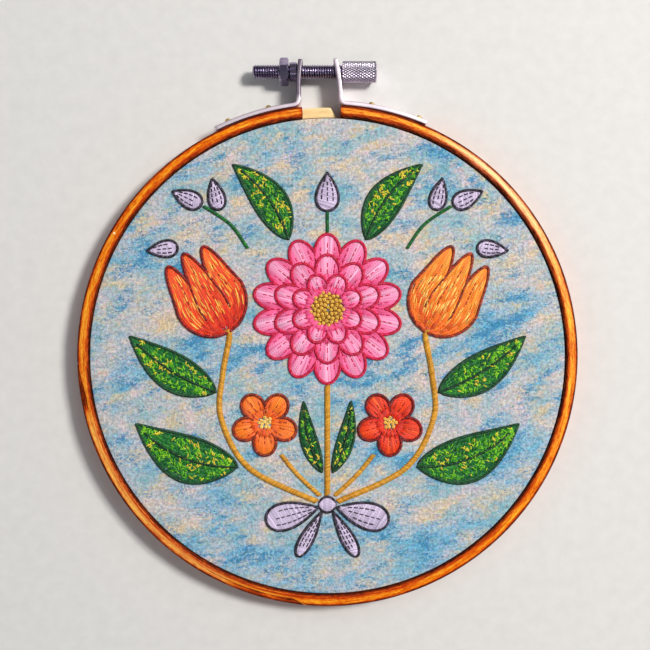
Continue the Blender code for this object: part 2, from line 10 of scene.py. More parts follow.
import bpy
import numpy as np
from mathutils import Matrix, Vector


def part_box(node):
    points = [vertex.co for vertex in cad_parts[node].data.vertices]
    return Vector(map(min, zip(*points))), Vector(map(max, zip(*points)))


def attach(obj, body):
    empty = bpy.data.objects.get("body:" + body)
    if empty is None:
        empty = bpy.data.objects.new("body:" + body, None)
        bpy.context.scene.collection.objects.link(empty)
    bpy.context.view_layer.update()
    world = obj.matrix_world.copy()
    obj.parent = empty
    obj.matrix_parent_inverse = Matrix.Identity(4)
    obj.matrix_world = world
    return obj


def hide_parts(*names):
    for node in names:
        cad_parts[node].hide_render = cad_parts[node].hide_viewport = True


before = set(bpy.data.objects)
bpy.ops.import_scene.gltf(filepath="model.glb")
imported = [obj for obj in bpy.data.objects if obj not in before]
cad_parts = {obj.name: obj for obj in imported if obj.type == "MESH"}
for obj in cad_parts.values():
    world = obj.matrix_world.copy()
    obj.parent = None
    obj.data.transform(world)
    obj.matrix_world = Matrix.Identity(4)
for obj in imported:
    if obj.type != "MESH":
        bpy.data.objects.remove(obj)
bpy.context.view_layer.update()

MM = 0.001
FULL_TURN = 2 * math.pi
# Edges sharper than this many degrees are left sharp, or none of them
SHARP_EDGE = 40.0
ALL_SMOOTH = 180.0


def middle_of_hoop():
    """Middle of the hoop on its resting surface, in metres, from the inner ring's box."""
    low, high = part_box("inner_ring")
    return np.array([(low.x + high.x) / 2, (low.y + high.y) / 2, 0.0])


HOOP_MIDDLE = middle_of_hoop()


def corners_of(node):
    """Lowest and highest corner of a CAD node, in millimetres from the middle of the hoop."""
    return [(np.array(corner) - HOOP_MIDDLE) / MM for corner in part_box(node)]


# Outer ring: its face wanders by FACE_WAVE and falls by FACE_FALL towards the outside, and its inner
# side is rounded off by END_ROUND at the sawn end on the right
OUTER_RADIUS = corners_of("outer_ring")[1][0]
RING_HEIGHT = corners_of("outer_ring")[1][2]
RING_WIDTH = 3.6
RING_INNER_RADIUS = OUTER_RADIUS - RING_WIDTH
INNER_EDGE_ROUND = 0.75
OUTER_EDGE_ROUND = 0.5
LOWER_EDGE_ROUND = 0.4
SPLIT_LEFT_X = -8.1
SPLIT_RIGHT_X = 4.3
RING_STEPS = 400
FACE_WAVE = 0.05
FACE_WAVE_SEED, FACE_TILT_SEED = 11, 12
FACE_FALL = 0.32
END_ROUND = 0.9
# Knock in the varnish, as distances along the ring and round its section
CHIP = (209.4, 23.3, 0.0)

# Glued lap of the outer ring: columns are angle in degrees and thickness of the outer leaf
LAP_ROWS = ((182.0, 0.35), (189.5, 1.85), (262.0, 1.75), (264.5, 0.35))
LAP_STEPS = 280
LAP_SEAM = 0.03
LAP_SPLINTER = 0.28
SPLINTER_SEED, SUNK_SEED, DARK_END_SEED = 21, 22, 23
LAP_TIP = 0.3
# Stretches of the lap in degrees: where its gaping start closes and its splintered end opens, where
# the leaf frays, where its dark start ends and its dark end begins, and where the pale sliver beside
# that end comes in and goes out
LAP_CLOSES = (190.5, 194.5)
LAP_OPENS = (238.0, 244.0)
LEAF_FRAYS = (236.0, 244.0)
LEAF_BRIGHTENS = (191.0, 194.5)
LEAF_DARKENS = (243.0, 250.0)
SLIVER_COMES = (243.0, 246.0)
SLIVER_GOES = (264.6, 266.0)
# The leaf's map follows this one of its sections, and lies this far from the ring's map
LEAF_MAP_SECTION = 100
LEAF_MAP_SHIFT = 30.0

# How much pale wood and painted highlight show through the stain, most at the upper right where the
# light falls: columns are angle in degrees and share
WEAR_AND_SHEEN_ROWS = ((0.0, 0.55), (22.0, 0.66), (38.0, 0.92), (52.0, 0.95), (66.0, 0.62), (88.0, 0.45), (115.0, 0.12),
             (165.0, 0.35), (198.0, 0.65), (245.0, 0.65), (262.0, 0.15), (300.0, 0.08), (335.0, 0.25))

# Dark edge of the inner side, real stain with painted shade: a line where the inner wall lies in
# shadow, and beside it a band.  The band's reach in millimetres swings twice round the ring, widest at
# BAND_WIDEST, and its depth of colour once, deepest at BAND_DEEPEST on the side turned from the light
LINE_DEPTH = 0.95
BAND_REACH, BAND_REACH_SWING = 1.50, 0.25
BAND_FADE = 0.7
BAND_WIDEST = math.radians(80.0)
BAND_DEPTH, BAND_DEPTH_SWING = 0.67, 0.10
BAND_DEEPEST = math.radians(45.0)

# Filler in the split: where its slanted end lies at the outer and the inner side, and how far those
# sides stand in from the ring's
FILLER_HEIGHT = corners_of("split_filler")[1][2]
FILLER_OUTER_END_X, FILLER_INNER_END_X = 1.0, 2.8
FILLER_OUTER_INSET, FILLER_INNER_INSET = 0.05, 0.3
FILLER_START_GAP = 0.12
FILLER_END_DROP = 0.25
FILLER_STEPS = 30

# Cloth and the inner ring under it
CLOTH_TOP = corners_of("cloth")[1][2]
CLOTH_RADIUS = corners_of("cloth")[1][0]
CLOTH_HEM = corners_of("cloth")[0][2]
CLOTH_THICKNESS = 0.3
CLOTH_EDGE_ROUND = 0.4
CLOTH_SPOKES = 180
CLOTH_ROUNDS = 28
CLOTH_SAG = 0.04
HEM_WANDER = 0.5
HEM_SEED = 31
INNER_RING_INSIDE = 71.3
INNER_RING_ROUND = 0.6
INNER_RING_STEPS = 200
SNUG = 0.1

# Metal strip of the brackets, with the middle line of each one: the angle in degrees where its foot
# ends, where its corner lies and where its leg ends
STRIP_THICKNESS = 1.4
STRIP_ROUND = 0.32
FOOT_RADIUS = OUTER_RADIUS + 0.3 + STRIP_THICKNESS / 2
BEND_LENGTH = 1.8
LEG_BOW = 0.35
STRIP_STEPS = 26
STRIP_LOW, STRIP_HIGH = corners_of("bracket_left")[0][2], corners_of("bracket_left")[1][2]
BRACKET_LEFT = {"far": 116.3, "corner_x": -9.3, "top": (-8.6, 94.9)}
BRACKET_RIGHT = {"far": 66.9, "corner_x": 4.5, "top": (2.5, 95.1)}
# How much painted shade darkens each leg, from 0 to 1: it stands in for a darker reflection
LEG_PAINTED_SHADE = {"bracket_left": 0.80, "bracket_right": 0.08}
PIN_ANGLES = {"pin_1": 113.0, "pin_2": 103.4, "pin_3": 80.0, "pin_4": 68.9}
PIN_SEAT = FOOT_RADIUS + STRIP_THICKNESS / 2
PIN_HEAD_RADIUS = 1.2
PIN_HEAD_HEIGHT = 1.5
PIN_SHANK_RADIUS = 0.5
PIN_PLAY = 0.05
PIN_DEPTH = 2.3
PIN_SIDES = 20
# How far the drills reach to both sides of the strip, for the screw's hole and for a pin's
SCREW_DRILL = (-4.0, 4.0)
PIN_DRILL = (-3.0, 3.0)
DRILL_SIDES = 48

# Thumb screw and its nuts, all on one axis along X
SCREW_Y = 91.7
SCREW_Z = RING_HEIGHT / 2
THREAD_TIP_X = corners_of("thumb_screw")[0][0]
HEAD_END_X = corners_of("thumb_screw")[1][0]
HEAD_START_X = 4.85
HEAD_RADIUS = 3.5
HEAD_CHAMFER = 0.45
CREST_RADIUS = 2.25
THREAD_DEPTH = 0.42
THREAD_PITCH = 0.8
CREST_FLATNESS = 1.75
TIP_CHAMFER = 0.6
STEPS_PER_TURN = 8
THREAD_SIDES = 32
KNURL_RIDGES = 24
KNURL_DEPTH = 0.36
KNURL_SLANT = 0.66
KNURL_STEP = 0.13
KNURL_FLAT = 0.8
# Rounds of the head's faces as shares of its radius, and how deep the outer face is dished there
HEAD_FACE = np.array([0.9, 0.6, 0.2])
HEAD_DISH = np.array([0.0, -0.10, -0.12])
HOLE_RADIUS = 2.55
NUT_BORE_RADIUS = 2.35
COLLAR_RADIUS = 3.1
COLLAR_CHAMFER_RADIUS = COLLAR_RADIUS - 0.4
NUT_CORNER_RADIUS = 4.5
NUT_CHAMFER_RADIUS = NUT_CORNER_RADIUS * 0.88
NUT_TURN = math.radians(15.0)
NUT_SIDES = 96
# Rows of a nut: how far they lie from its faces, how much wider a row may be for each millimetre from
# a face, and how much wider and how deep its bore is at both ends
NUT_ROWS = np.array([0.0, 0.12, 0.3, 0.55, 0.9])
NUT_CONE = 1.5
BORE_FLARE = 0.25
BORE_FLARE_DEPTH = 0.3

# Stitches
THREAD_WIDTH = 0.42
THREAD_HEIGHT = 0.30
STITCH_PITCH = 0.33
LEAF_PITCH = 0.42
STITCH_DIVE = 0.22
STITCH_SIDES = 5
# A stitch along its length: rows of share of the way, how deep it dives and share of full width
LONG_STITCH = np.array([(0.0, 1.0, 0.55), (0.1, 0.16, 0.95), (0.5, 0.0, 1.0), (0.9, 0.16, 0.95),
                        (1.0, 1.0, 0.55)])
SHORT_STITCH = np.array([(0.0, 1.0, 0.60), (0.2, 0.08, 1.0), (0.8, 0.08, 1.0), (1.0, 1.0, 0.60)])
TWIST_PITCH = 0.8
OUTLINE_WIDTH = 0.85
OUTLINE_PITCH = 0.42
KNOT_SIZE = 0.42
PATH_STEPS = 14
# Under the cloth: one stitch in so many shows, half its height, how much longer at each end and wider
# it is, and how far its ends are pushed about
UNDERSIDE_STEP = 3
UNDERSIDE_HALF_HEIGHT = 0.13
UNDERSIDE_LONGER = 0.25
UNDERSIDE_WIDER = 1.1
UNDERSIDE_PUSH = 0.14

# Weave: distance from thread to thread
WEAVE = 0.40
# The print's strokes rise to the right by this many degrees
STROKE_SLANT = 14.0

# Embroidery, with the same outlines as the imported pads
BLOOM_CENTRE = np.array([0.0, 15.0])
SMALL_FLOWER_CENTRE = np.array([20.0, -21.5])
TULIP_BASE = np.array([31.5, 7.5])
TULIP_ANGLE = 60.0
TULIP_HEIGHT = 29.0
TULIP_WIDTH = 23.0
BOW_KNOT_CENTRE = np.array([0.0, -47.6])
BOW_KNOT_RADIUS = 2.6
BOW_KNOT_STITCHES = 17
EYE_RADIUS = 6.0
EYE_KNOTS = 52
EYE_GROUND_STITCHES = 90
EYE_STITCH_HALF = 0.7
EYE_STITCH_TURN = 2.4
SMALL_EYE_RADIUS = 2.1
SMALL_EYE_KNOTS = 12

# Rows of petals: petals, inner radius, valley, tip, turn in degrees and how high they lie
BLOOM_ROWS = (
    (14, 11.5, 18.5, 24.0, 90.0, 0.0),
    (10, 7.5, 12.6, 17.4, 90.0, 0.17),
    (8, 5.0, 8.2, 11.6, 67.5, 0.34),
)
SMALL_FLOWER_ROW = (5, 2.0, 5.5, 10.5, 126.0, 0.0)
# Thread's shades at a petal's inner end, along its middle and at its flanks, and from a tulip's base
# to its rim
BLOOM_SHADES = (0.45, 0.86, 0.45)
SMALL_FLOWER_SHADES = (0.34, 0.52, 0.34)
TULIP_SHADES = (0.34, 0.42, 0.52, 0.62)
# Share of the way from a petal's inner end to its valley where its second round of stitches starts,
# its veins as shares of the way to the next petal, and how far above their row its lines lie
PETAL_SPLIT = 0.62
PETAL_VEINS = (-0.30, 0.0, 0.30)
PETAL_LINE_RISE = 0.2
# Rows of a tulip's stitches: where they start and end between base and rim, and how many there are
TULIP_ROWS = ((0.0, 0.10, 12), (0.06, 0.18, 30), (0.13, 0.28, 44), (0.22, 0.42, 58), (0.34, 0.62, 66),
              (0.52, 0.82, 70), (0.70, 1.0, 70))
TULIP_FLECKS = 110
# Veins of a tulip: how far across they lie, and where they start and end
TULIP_VEINS = ((0.0, 0.55, 0.86), (-0.6, 0.5, 0.8), (0.62, 0.48, 0.78), (0.12, 0.34, 0.60))

# Leaves on the right: stalk end, point, width and sideways bow of the midrib
LEAVES = {
    "leaf_top": ((12.5, 37.5), (30.0, 61.0), 11.0, 2.5),
    "leaf_side": ((35.9, -11.5), (63.0, 6.0), 12.0, -2.0),
    "leaf_low": ((29.0, -35.5), (61.0, -22.0), 15.0, -4.0),
    "leaf_inner": ((1.9, -37.0), (7.5, -15.0), 5.0, -1.4),
}
# Stems: thread, width and the points that a smooth path runs through
SIDE_STEMS = {
    "stem_outer": ("gold_thread", 1.8, ((31.9, 8.2), (31.4, 5.6), (33.5, -6.0), (34.0, -20.0), (25.0, -36.0),
                                        (3.6, -46.6))),
    "stem_short": ("gold_thread", 1.4, ((14.7, -31.8), (9.6, -38.0), (2.6, -44.6))),
    "sprig": ("green_thread", 1.0, ((25.6, 34.5), (31.0, 42.0), (39.5, 47.8))),
}
CENTRE_STEMS = {
    "stem_centre": ("gold_thread", 1.8, ((0.0, -9.6), (0.0, -27.0), (0.0, -44.4))),
    "sprig_centre": ("green_thread", 1.0, ((0.0, 39.6), (0.0, 45.9))),
}
STEM_SHADES = {"gold_thread": 0.55, "green_thread": 0.3}
# Buds and ribbon on the right: round end, pointed end and width
DROPS = {
    "bud_outer": ((40.4, 48.3), (49.5, 52.6), 6.0),
    "bud_inner": ((34.6, 46.8), (36.8, 56.6), 5.6),
    "bud_side": ((48.0, 34.6), (57.6, 33.6), 5.6),
    "bow_loop": ((19.5, -53.0), (3.0, -48.6), 9.0),
    "bow_tail": ((9.5, -64.0), (1.9, -50.1), 4.4),
}
CENTRE_BUD = ((0.0, 46.4), (0.0, 58.5), 7.6)
# Seeds of the motifs' random draws; each motif of a kind takes the next step, and a motif on the left
# adds LEFT_SEEDS
BLOOM_SEED = 1000
BLOOM_SEED_STEP = 300
SMALL_FLOWER_SEED = 2000
TULIP_SEED = 3000
LEAF_SEED = 4000
SIDE_STEM_SEED = 5000
DROP_SEED = 6000
CENTRE_STEM_SEED = 7000
BUD_SEED = 7100
BOW_KNOT_SEED = 7200
EYE_SEED = 77
SEED_STEP = 20
LEFT_SEEDS = 500
# Thread's shade of the darker outlines, in its finish's ramp from 0 to 1
OUTLINE_SHADE = 0.03

# Lamps: place and size in metres, power in watts and colour
LAMPS = {
    "key": ((0.74, 0.36, 1.02), (0.26, 0.26), 16.4, (1.0, 0.97, 0.93)),
    "overhead": ((0.42, 0.52, 0.80), (0.60, 0.60), 2.2, (0.96, 0.97, 1.0)),
    "fill": ((-0.8, -0.3, 0.7), (0.8, 0.8), 1.3, (0.92, 0.95, 1.0)),
    "strip": ((0.0, -0.64, 1.00), (1.0, 0.03), 0.8, (1.0, 0.98, 1.0)),
}
SKY_COLOUR = (0.80, 0.84, 0.90, 1.0)
SKY_STRENGTH = 0.16
# Floor: half its width in metres, and how far under the hoop it lies in millimetres
FLOOR_REACH = 2.0
FLOOR_DROP = 0.05
# Camera straight above, set from the photo's perspective
CAMERA_X = -0.77
CAMERA_Y = 9.85
CAMERA_HEIGHT = 320.0
CAMERA_LENS = 54.02
CAMERA_SENSOR = 36.0


# Surfaces

@dataclass
class Surface:
    """Points with their quads and triangles, the map at each corner, and marks for the finish.

    laid holds a row for each stitch on it: start x and y, end x and y, shade and width.
    """
    points: np.ndarray
    quads: np.ndarray
    quad_map: np.ndarray
    triangles: np.ndarray
    triangle_map: np.ndarray
    marks: dict = field(default_factory=dict)
    laid: np.ndarray = field(default_factory=lambda: np.zeros((0, 6)))


def spread(mark, tubes, steps, sides):
    """A mark given for each tube, step or point, for every point of the tubes and their poles."""
    mark = np.asarray(mark, float)
    while mark.ndim < 3:
        mark = mark[..., None]
    every = np.broadcast_to(mark, (tubes, steps, sides))
    poles = every[:, [0, -1]].mean(axis=2)
    return np.concatenate([every.reshape(tubes, -1), poles], axis=1).ravel()


def capped(grid, along, around, marks=None):
    """Tubes closed at both ends.

    grid is (tubes, steps, sides, 3), rings of points one after the other.  Neighbouring rings are
    joined by quads, and each end ring by a fan to its middle.  The map's first number is along,
    (tubes, steps), and its second is around, (sides + 1).
    """
    tubes, steps, sides, _ = grid.shape
    poles = grid[:, [0, -1]].mean(axis=2)
    points = np.concatenate([grid.reshape(tubes, -1, 3), poles], axis=1).reshape(-1, 3)
    first = np.arange(tubes) * (steps * sides + 2)
    i, j = np.meshgrid(np.arange(steps - 1), np.arange(sides), indexing="ij")
    k = (j + 1) % sides
    ring = np.stack([i * sides + j, i * sides + k, (i + 1) * sides + k, (i + 1) * sides + j], -1)
    quads = (first[:, None, None, None] + ring).reshape(-1, 4)
    u = np.stack([along[:, i], along[:, i], along[:, i + 1], along[:, i + 1]], -1)
    v = np.broadcast_to(np.stack([around[j], around[j + 1], around[j + 1], around[j]], -1), u.shape)
    quad_map = np.stack([u, v], -1).reshape(-1, 4, 2)
    side = np.arange(sides)
    after = (side + 1) % sides
    pole = steps * sides
    last = (steps - 1) * sides
    start_fan = np.stack([np.full(sides, pole), after, side], -1)
    end_fan = np.stack([np.full(sides, pole + 1), last + side, last + after], -1)
    fans = np.stack([start_fan, end_fan])
    triangles = (first[:, None, None, None] + fans).reshape(-1, 3)
    ends = np.broadcast_to(along[:, [0, -1]][:, :, None, None], (tubes, 2, sides, 3))
    low, high = around[side], around[side + 1]
    middle = (low + high) / 2
    turns = np.stack([np.stack([middle, high, low], -1), np.stack([middle, low, high], -1)])
    turns = np.broadcast_to(turns, ends.shape)
    triangle_map = np.stack([ends, turns], -1).reshape(-1, 3, 2)
    marks = {name: spread(mark, tubes, steps, sides) for name, mark in (marks or {}).items()}
    return Surface(points, quads, quad_map, triangles, triangle_map, marks)


def looped(grid, along, around):
    """A closed loop: the last of the rings, (steps, sides, 3), is joined to the first again."""
    steps, sides, _ = grid.shape
    i, j = np.meshgrid(np.arange(steps), np.arange(sides), indexing="ij")
    k = (j + 1) % sides
    m = (i + 1) % steps
    quads = np.stack([i * sides + j, i * sides + k, m * sides + k, m * sides + j], -1).reshape(-1, 4)
    u = np.stack([along[i], along[i], along[i + 1], along[i + 1]], -1)
    v = np.stack([around[j], around[j + 1], around[j + 1], around[j]], -1)
    quad_map = np.stack([u, v], -1).reshape(-1, 4, 2)
    none = np.zeros((0, 3), int)
    return Surface(grid.reshape(-1, 3), quads, quad_map, none, np.zeros((0, 3, 2)))


def joined(surfaces):
    """Several surfaces as one, each one's faces counted on from the points before it."""
    firsts = np.cumsum([0] + [len(surface.points) for surface in surfaces[:-1]])
    return Surface(
        np.concatenate([s.points for s in surfaces]),
        np.concatenate([s.quads + first for s, first in zip(surfaces, firsts)]),
        np.concatenate([s.quad_map for s in surfaces]),
        np.concatenate([s.triangles + first for s, first in zip(surfaces, firsts)]),
        np.concatenate([s.triangle_map for s in surfaces]),
        {name: np.concatenate([s.marks[name] for s in surfaces]) for name in surfaces[0].marks},
        np.concatenate([s.laid for s in surfaces]),
    )


def place(points):
    """Millimetres from the middle of the hoop as metres in the frame."""
    return points * MM + HOOP_MIDDLE


def turned_out(surface):
    """The surface with its faces outwards: they are reversed where its signed volume is negative."""
    p = surface.points
    q = surface.quads
    t = surface.triangles
    corners = [(p[q[:, 0]], p[q[:, 1]], p[q[:, 2]]), (p[q[:, 0]], p[q[:, 2]], p[q[:, 3]]),
               (p[t[:, 0]], p[t[:, 1]], p[t[:, 2]])]
    volume = sum(np.einsum("ij,ij->", a, np.cross(b, c)) for a, b, c in corners)
    if volume < 0:
        surface.quads = q[:, ::-1]
        surface.quad_map = surface.quad_map[:, ::-1]
        surface.triangles = t[:, ::-1]
        surface.triangle_map = surface.triangle_map[:, ::-1]
    return surface


def make_object(name, surface, material, sharp=SHARP_EDGE):
    """Mesh object with the surface's map and marks, smooth but for edges sharper than the angle."""
    mesh = bpy.data.meshes.new(name)
    mesh.vertices.add(len(surface.points))
    mesh.vertices.foreach_set("co", place(surface.points).ravel())
    loops = np.concatenate([surface.quads.ravel(), surface.triangles.ravel()])
    mesh.loops.add(len(loops))
    mesh.loops.foreach_set("vertex_index", loops)
    quads, triangles = len(surface.quads), len(surface.triangles)
    mesh.polygons.add(quads + triangles)
    starts = np.concatenate([np.arange(quads) * 4, quads * 4 + np.arange(triangles) * 3])
    mesh.polygons.foreach_set("loop_start", starts)
    mesh.update(calc_edges=True)
    layer = mesh.uv_layers.new(name="lay")
    layer.data.foreach_set("uv", np.concatenate([surface.quad_map.ravel(), surface.triangle_map.ravel()]))
    for mark, values in surface.marks.items():
        mesh.attributes.new(mark, "FLOAT", "POINT").data.foreach_set("value", values.astype(np.float32))
    mesh.materials.append(material)
    mesh.shade_smooth()
    mesh.set_sharp_from_angle(angle=math.radians(sharp))
    made = bpy.data.objects.new(name, mesh)
    bpy.context.scene.collection.objects.link(made)
    return made


def fit(piece, body, slot, *nodes):
    """Let a piece ride on a body and stand for CAD nodes; slot is not used."""
    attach(piece, body)
    if nodes:
        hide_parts(*nodes)
    return piece


# Finishes

def paint(red, green, blue):
    """Screen colour, 0 to 255 each, as the linear colour that a shader takes."""
    values = np.array([red, green, blue]) / 255
    linear = np.where(values <= 0.04045, values / 12.92, ((values + 0.055) / 1.055) ** 2.4)
    return (*linear.tolist(), 1.0)


class Finish:
    """A material in the making: short calls that add nodes to its tree."""

    def __init__(self, name, **constants):
        self.material = bpy.data.materials.new(name)
        self.material.use_nodes = True
        self.tree = self.material.node_tree
        self.shader = self.tree.nodes["Principled BSDF"]
        for key, value in constants.items():
            self.shader.inputs[key.replace("_", " ")].default_value = value

    def node(self, kind, inputs, **settings):
        """A shader node with its settings, and its inputs by name or number."""
        made = self.tree.nodes.new("ShaderNode" + kind)
        for key, value in settings.items():
            setattr(made, key, value)
        for key, value in inputs.items():
            if isinstance(value, bpy.types.NodeSocket):
                self.tree.links.new(value, made.inputs[key])
            else:
                made.inputs[key].default_value = value
        return made

    def lay(self, scale, turn=0.0):
        """The piece's own map, in millimetres, turned by some degrees and then times a scale each way."""
        own = self.node("UVMap", {}, uv_map="lay").outputs["UV"]
        inputs = {"Vector": own, "Rotation": (0.0, 0.0, math.radians(turn)), "Scale": [1 / s for s in scale]}
        return self.node("Mapping", inputs, vector_type="TEXTURE").outputs["Vector"]

    def solid(self, scale):
        """Place in the object in millimetres, times a scale each way."""
        own = self.node("TexCoord", {}).outputs["Object"]
        return self.node("Mapping", {"Vector": own, "Scale": tuple(s / MM for s in scale)}).outputs["Vector"]

    def mark(self, name):
        """A value that the mesh carries."""
        return self.node("Attribute", {}, attribute_name=name).outputs["Fac"]

    def math(self, operation, a, b=0.0, c=0.0):
        """One sum; MULTIPLY_ADD is a times b plus c."""
        return self.node("Math", {0: a, 1: b, 2: c}, operation=operation).outputs["Value"]

    def noise(self, where, detail=3.0, rough=0.55):
        """Soft noise from 0 to 1."""
        inputs = {"Vector": where, "Scale": 1.0, "Detail": detail, "Roughness": rough}
        return self.node("TexNoise", inputs).outputs["Fac"]

    def span(self, value, low, high, to_low=0.0, to_high=1.0):
        """The value's stretch from low to high moved to another stretch, and held inside it."""
        inputs = {"Value": value, "From Min": low, "From Max": high, "To Min": to_low, "To Max": to_high}
        return self.node("MapRange", inputs, clamp=True).outputs["Result"]

    def ramp(self, value, *stops):
        """Colour read from stops of (place, colour)."""
        made = self.node("ValToRGB", {"Fac": value})
        elements = made.color_ramp.elements
        while len(elements) < len(stops):
            elements.new(0.5)
        for element, (position, colour) in zip(elements, stops):
            element.position = position
            element.color = colour
        return made.outputs["Color"]

    def mix(self, share, a, b, way="MIX"):
        """Two colours mixed, b over a."""
        made = self.node("Mix", {0: share, 6: a, 7: b}, data_type="RGBA", blend_type=way)
        return made.outputs[2]

    def bump(self, height, depth, below=None):
        """Relief of a depth in millimetres, on top of any relief below it."""
        inputs = {"Height": height, "Distance": depth * MM, "Strength": 1.0}
        if below is not None:
            inputs["Normal"] = below
        return self.node("Bump", inputs).outputs["Normal"]

    def done(self, **sockets):
        """Plug the results into the shader and hand over the material."""
        for key, value in sockets.items():
            self.tree.links.new(value, self.shader.inputs[key.replace("_", " ")])
        return self.material


def stained_wood():
    """Amber stain under varnish over straight grain: streaks along the ring, red and dark at its edges.

    The wear-and-sheen mark lets yellow wood through in streaks, and above about two thirds it paints
    a pale cream highlight.
    The stain-and-shade mark, real stain with painted shade on the edges, turns the wood red and then
    nearly black, sooner where the grain is dark.
    """
    finish = Finish("stained_wood", Specular_Tint=paint(255, 218, 150), Specular_IOR_Level=0.32)
    streaks = finish.noise(finish.lay((0.10, 1.0, 1.0)), detail=6.0, rough=0.65)
    fibres = finish.noise(finish.lay((0.6, 7.0, 1.0)), detail=3.0, rough=0.6)
    patches = finish.noise(finish.lay((0.06, 0.4, 1.0)), detail=2.0)
    flecks = finish.noise(finish.lay((0.55, 1.9, 1.0)), detail=6.0, rough=0.75)
    grain = finish.math("MULTIPLY_ADD", fibres, 0.12, finish.math("MULTIPLY", flecks, 0.43))
    grain = finish.math("MULTIPLY_ADD", streaks, 0.45, grain)
    colour = finish.ramp(grain, (0.42, paint(164, 50, 0)), (0.47, paint(226, 98, 0)),
                         (0.53, paint(248, 142, 4)), (0.585, paint(255, 204, 56)))
    redder = finish.span(patches, 0.42, 0.62, 0.0, 0.45)
    colour = finish.mix(redder, colour, paint(222, 82, 0))
    # Pale wood where the ring is worn, and painted highlight where the light falls, both by this mark
    wear_and_sheen = finish.mark("wear_and_sheen")
    worn_and_lit = finish.math("MULTIPLY", finish.span(grain, 0.45, 0.56, 0.15, 0.95), wear_and_sheen)
    colour = finish.mix(worn_and_lit, colour, paint(255, 204, 76))
    # Painted highlight: a pale cream shine where the mark is high, over the streaky wood
    shine = finish.math("MULTIPLY", finish.span(grain, 0.42, 0.52, 0.5, 1.0), finish.span(wear_and_sheen, 0.60, 1.0))
    colour = finish.mix(shine, colour, paint(255, 232, 172))
    colour = finish.mix(finish.span(flecks, 0.60, 0.67, 0.0, 0.8), colour, paint(112, 36, 0))
    stain_and_shade = finish.math("MULTIPLY", finish.mark("stain_and_shade"), finish.span(grain, 0.44, 0.56, 1.25, 0.70))
    # Stain and painted shade: red, then nearly black
    colour = finish.mix(finish.span(stain_and_shade, 0.0, 0.55, 0.0, 0.90), colour, paint(200, 50, 0))
    colour = finish.mix(finish.span(stain_and_shade, 0.45, 0.95), colour, paint(70, 4, 0))
    from_chip = finish.node("VectorMath", {0: finish.lay((1.0, 1.0, 1.0)), 1: CHIP}, operation="DISTANCE")
    chip = finish.span(from_chip.outputs["Value"], 0.45, 0.28)
    colour = finish.mix(chip, colour, paint(255, 236, 184))
    rough = finish.math("MULTIPLY_ADD", stain_and_shade, 0.40, finish.span(fibres, 0.3, 0.7, 0.28, 0.46))
    relief = finish.bump(flecks, 0.06)
    relief = finish.bump(streaks, 0.08, relief)
    return finish.done(Base_Color=colour, Roughness=rough, Normal=relief)


def bare_wood():
    """Pale sanded wood with fine straight fibres and small pores."""
    finish = Finish("bare_wood", Specular_IOR_Level=0.35)
    streaks = finish.noise(finish.lay((0.06, 0.9, 1.0)), detail=5.0)
    fibres = finish.noise(finish.lay((0.35, 7.0, 1.0)), detail=3.0, rough=0.6)
    pores = finish.noise(finish.lay((0.9, 9.0, 1.0)), detail=1.0)
    grain = finish.math("MULTIPLY_ADD", fibres, 0.4, finish.math("MULTIPLY", streaks, 0.6))
    colour = finish.ramp(grain, (0.34, paint(218, 176, 112)), (0.5, paint(240, 208, 148)),
                         (0.68, paint(250, 228, 178)))
    colour = finish.mix(finish.span(pores, 0.64, 0.74, 0.0, 0.5), colour, paint(170, 120, 64))
    rough = finish.span(fibres, 0.3, 0.7, 0.52, 0.7)
    return finish.done(Base_Color=colour, Roughness=rough, Normal=finish.bump(fibres, 0.03))


def cotton_print(finish, tooth):
    """Colour printed on the cloth: pale grey, cream and pink under a wash, dry strokes and dabs of blue.

    Each layer is a noise stretched sideways along the strokes' slant, cut off softly at a level.  The
    cloth's tooth is added to the noise, so the edges of a layer break up.
    """
    ground = finish.noise(finish.lay((0.05, 0.075, 1.0), STROKE_SLANT), detail=6.0, rough=0.72)
    colour = finish.ramp(ground, (0.37, paint(130, 178, 192)), (0.45, paint(162, 188, 196)),
                         (0.53, paint(192, 194, 198)), (0.63, paint(220, 202, 192)))
    creamy = finish.noise(finish.lay((0.09, 0.15, 1.0), STROKE_SLANT), detail=6.0, rough=0.75)
    creamy = finish.math("MULTIPLY_ADD", tooth, 0.25, creamy)
    colour = finish.mix(finish.span(creamy, 0.62, 0.74, 0.0, 0.8), colour, paint(222, 196, 150))
    pinkish = finish.noise(finish.lay((0.10, 0.12, 2.0), STROKE_SLANT), detail=5.0, rough=0.72)
    colour = finish.mix(finish.span(pinkish, 0.54, 0.67, 0.0, 0.65), colour, paint(228, 198, 206))
    wash = finish.noise(finish.lay((0.026, 0.058, 1.0), STROKE_SLANT), detail=7.0, rough=0.7)
    height = finish.node("SeparateXYZ", {0: finish.lay((1.0, 1.0, 1.0))}).outputs["Y"]
    lower = finish.span(height, -70.0, 70.0, 0.04, -0.05)
    washed = finish.math("MULTIPLY_ADD", tooth, 0.30, finish.math("ADD", wash, lower))
    patchy = finish.noise(finish.lay((0.16, 0.34, 5.0), STROKE_SLANT), detail=5.0, rough=0.7)
    washed = finish.span(washed, 0.63, 0.74)
    patchy = finish.span(patchy, 0.34, 0.6, 0.35, 1.0)
    colour = finish.mix(finish.math("MULTIPLY", washed, patchy), colour, paint(116, 180, 212))
    stroke = finish.noise(finish.lay((0.11, 0.22, 1.0), STROKE_SLANT), detail=6.0, rough=0.7)
    brushed = finish.math("MULTIPLY_ADD", tooth, 0.70, finish.math("MULTIPLY_ADD", wash, 0.80, stroke))
    colour = finish.mix(finish.span(brushed, 1.30, 1.41, 0.0, 0.9), colour, paint(60, 138, 182))
    dab = finish.noise(finish.lay((0.19, 0.28, 3.0), STROKE_SLANT), detail=4.0, rough=0.6)
    dabbed = finish.math("MULTIPLY_ADD", tooth, 0.60, dab)
    return finish.mix(finish.span(dabbed, 0.94, 1.03, 0.0, 0.85), colour, paint(52, 128, 148))


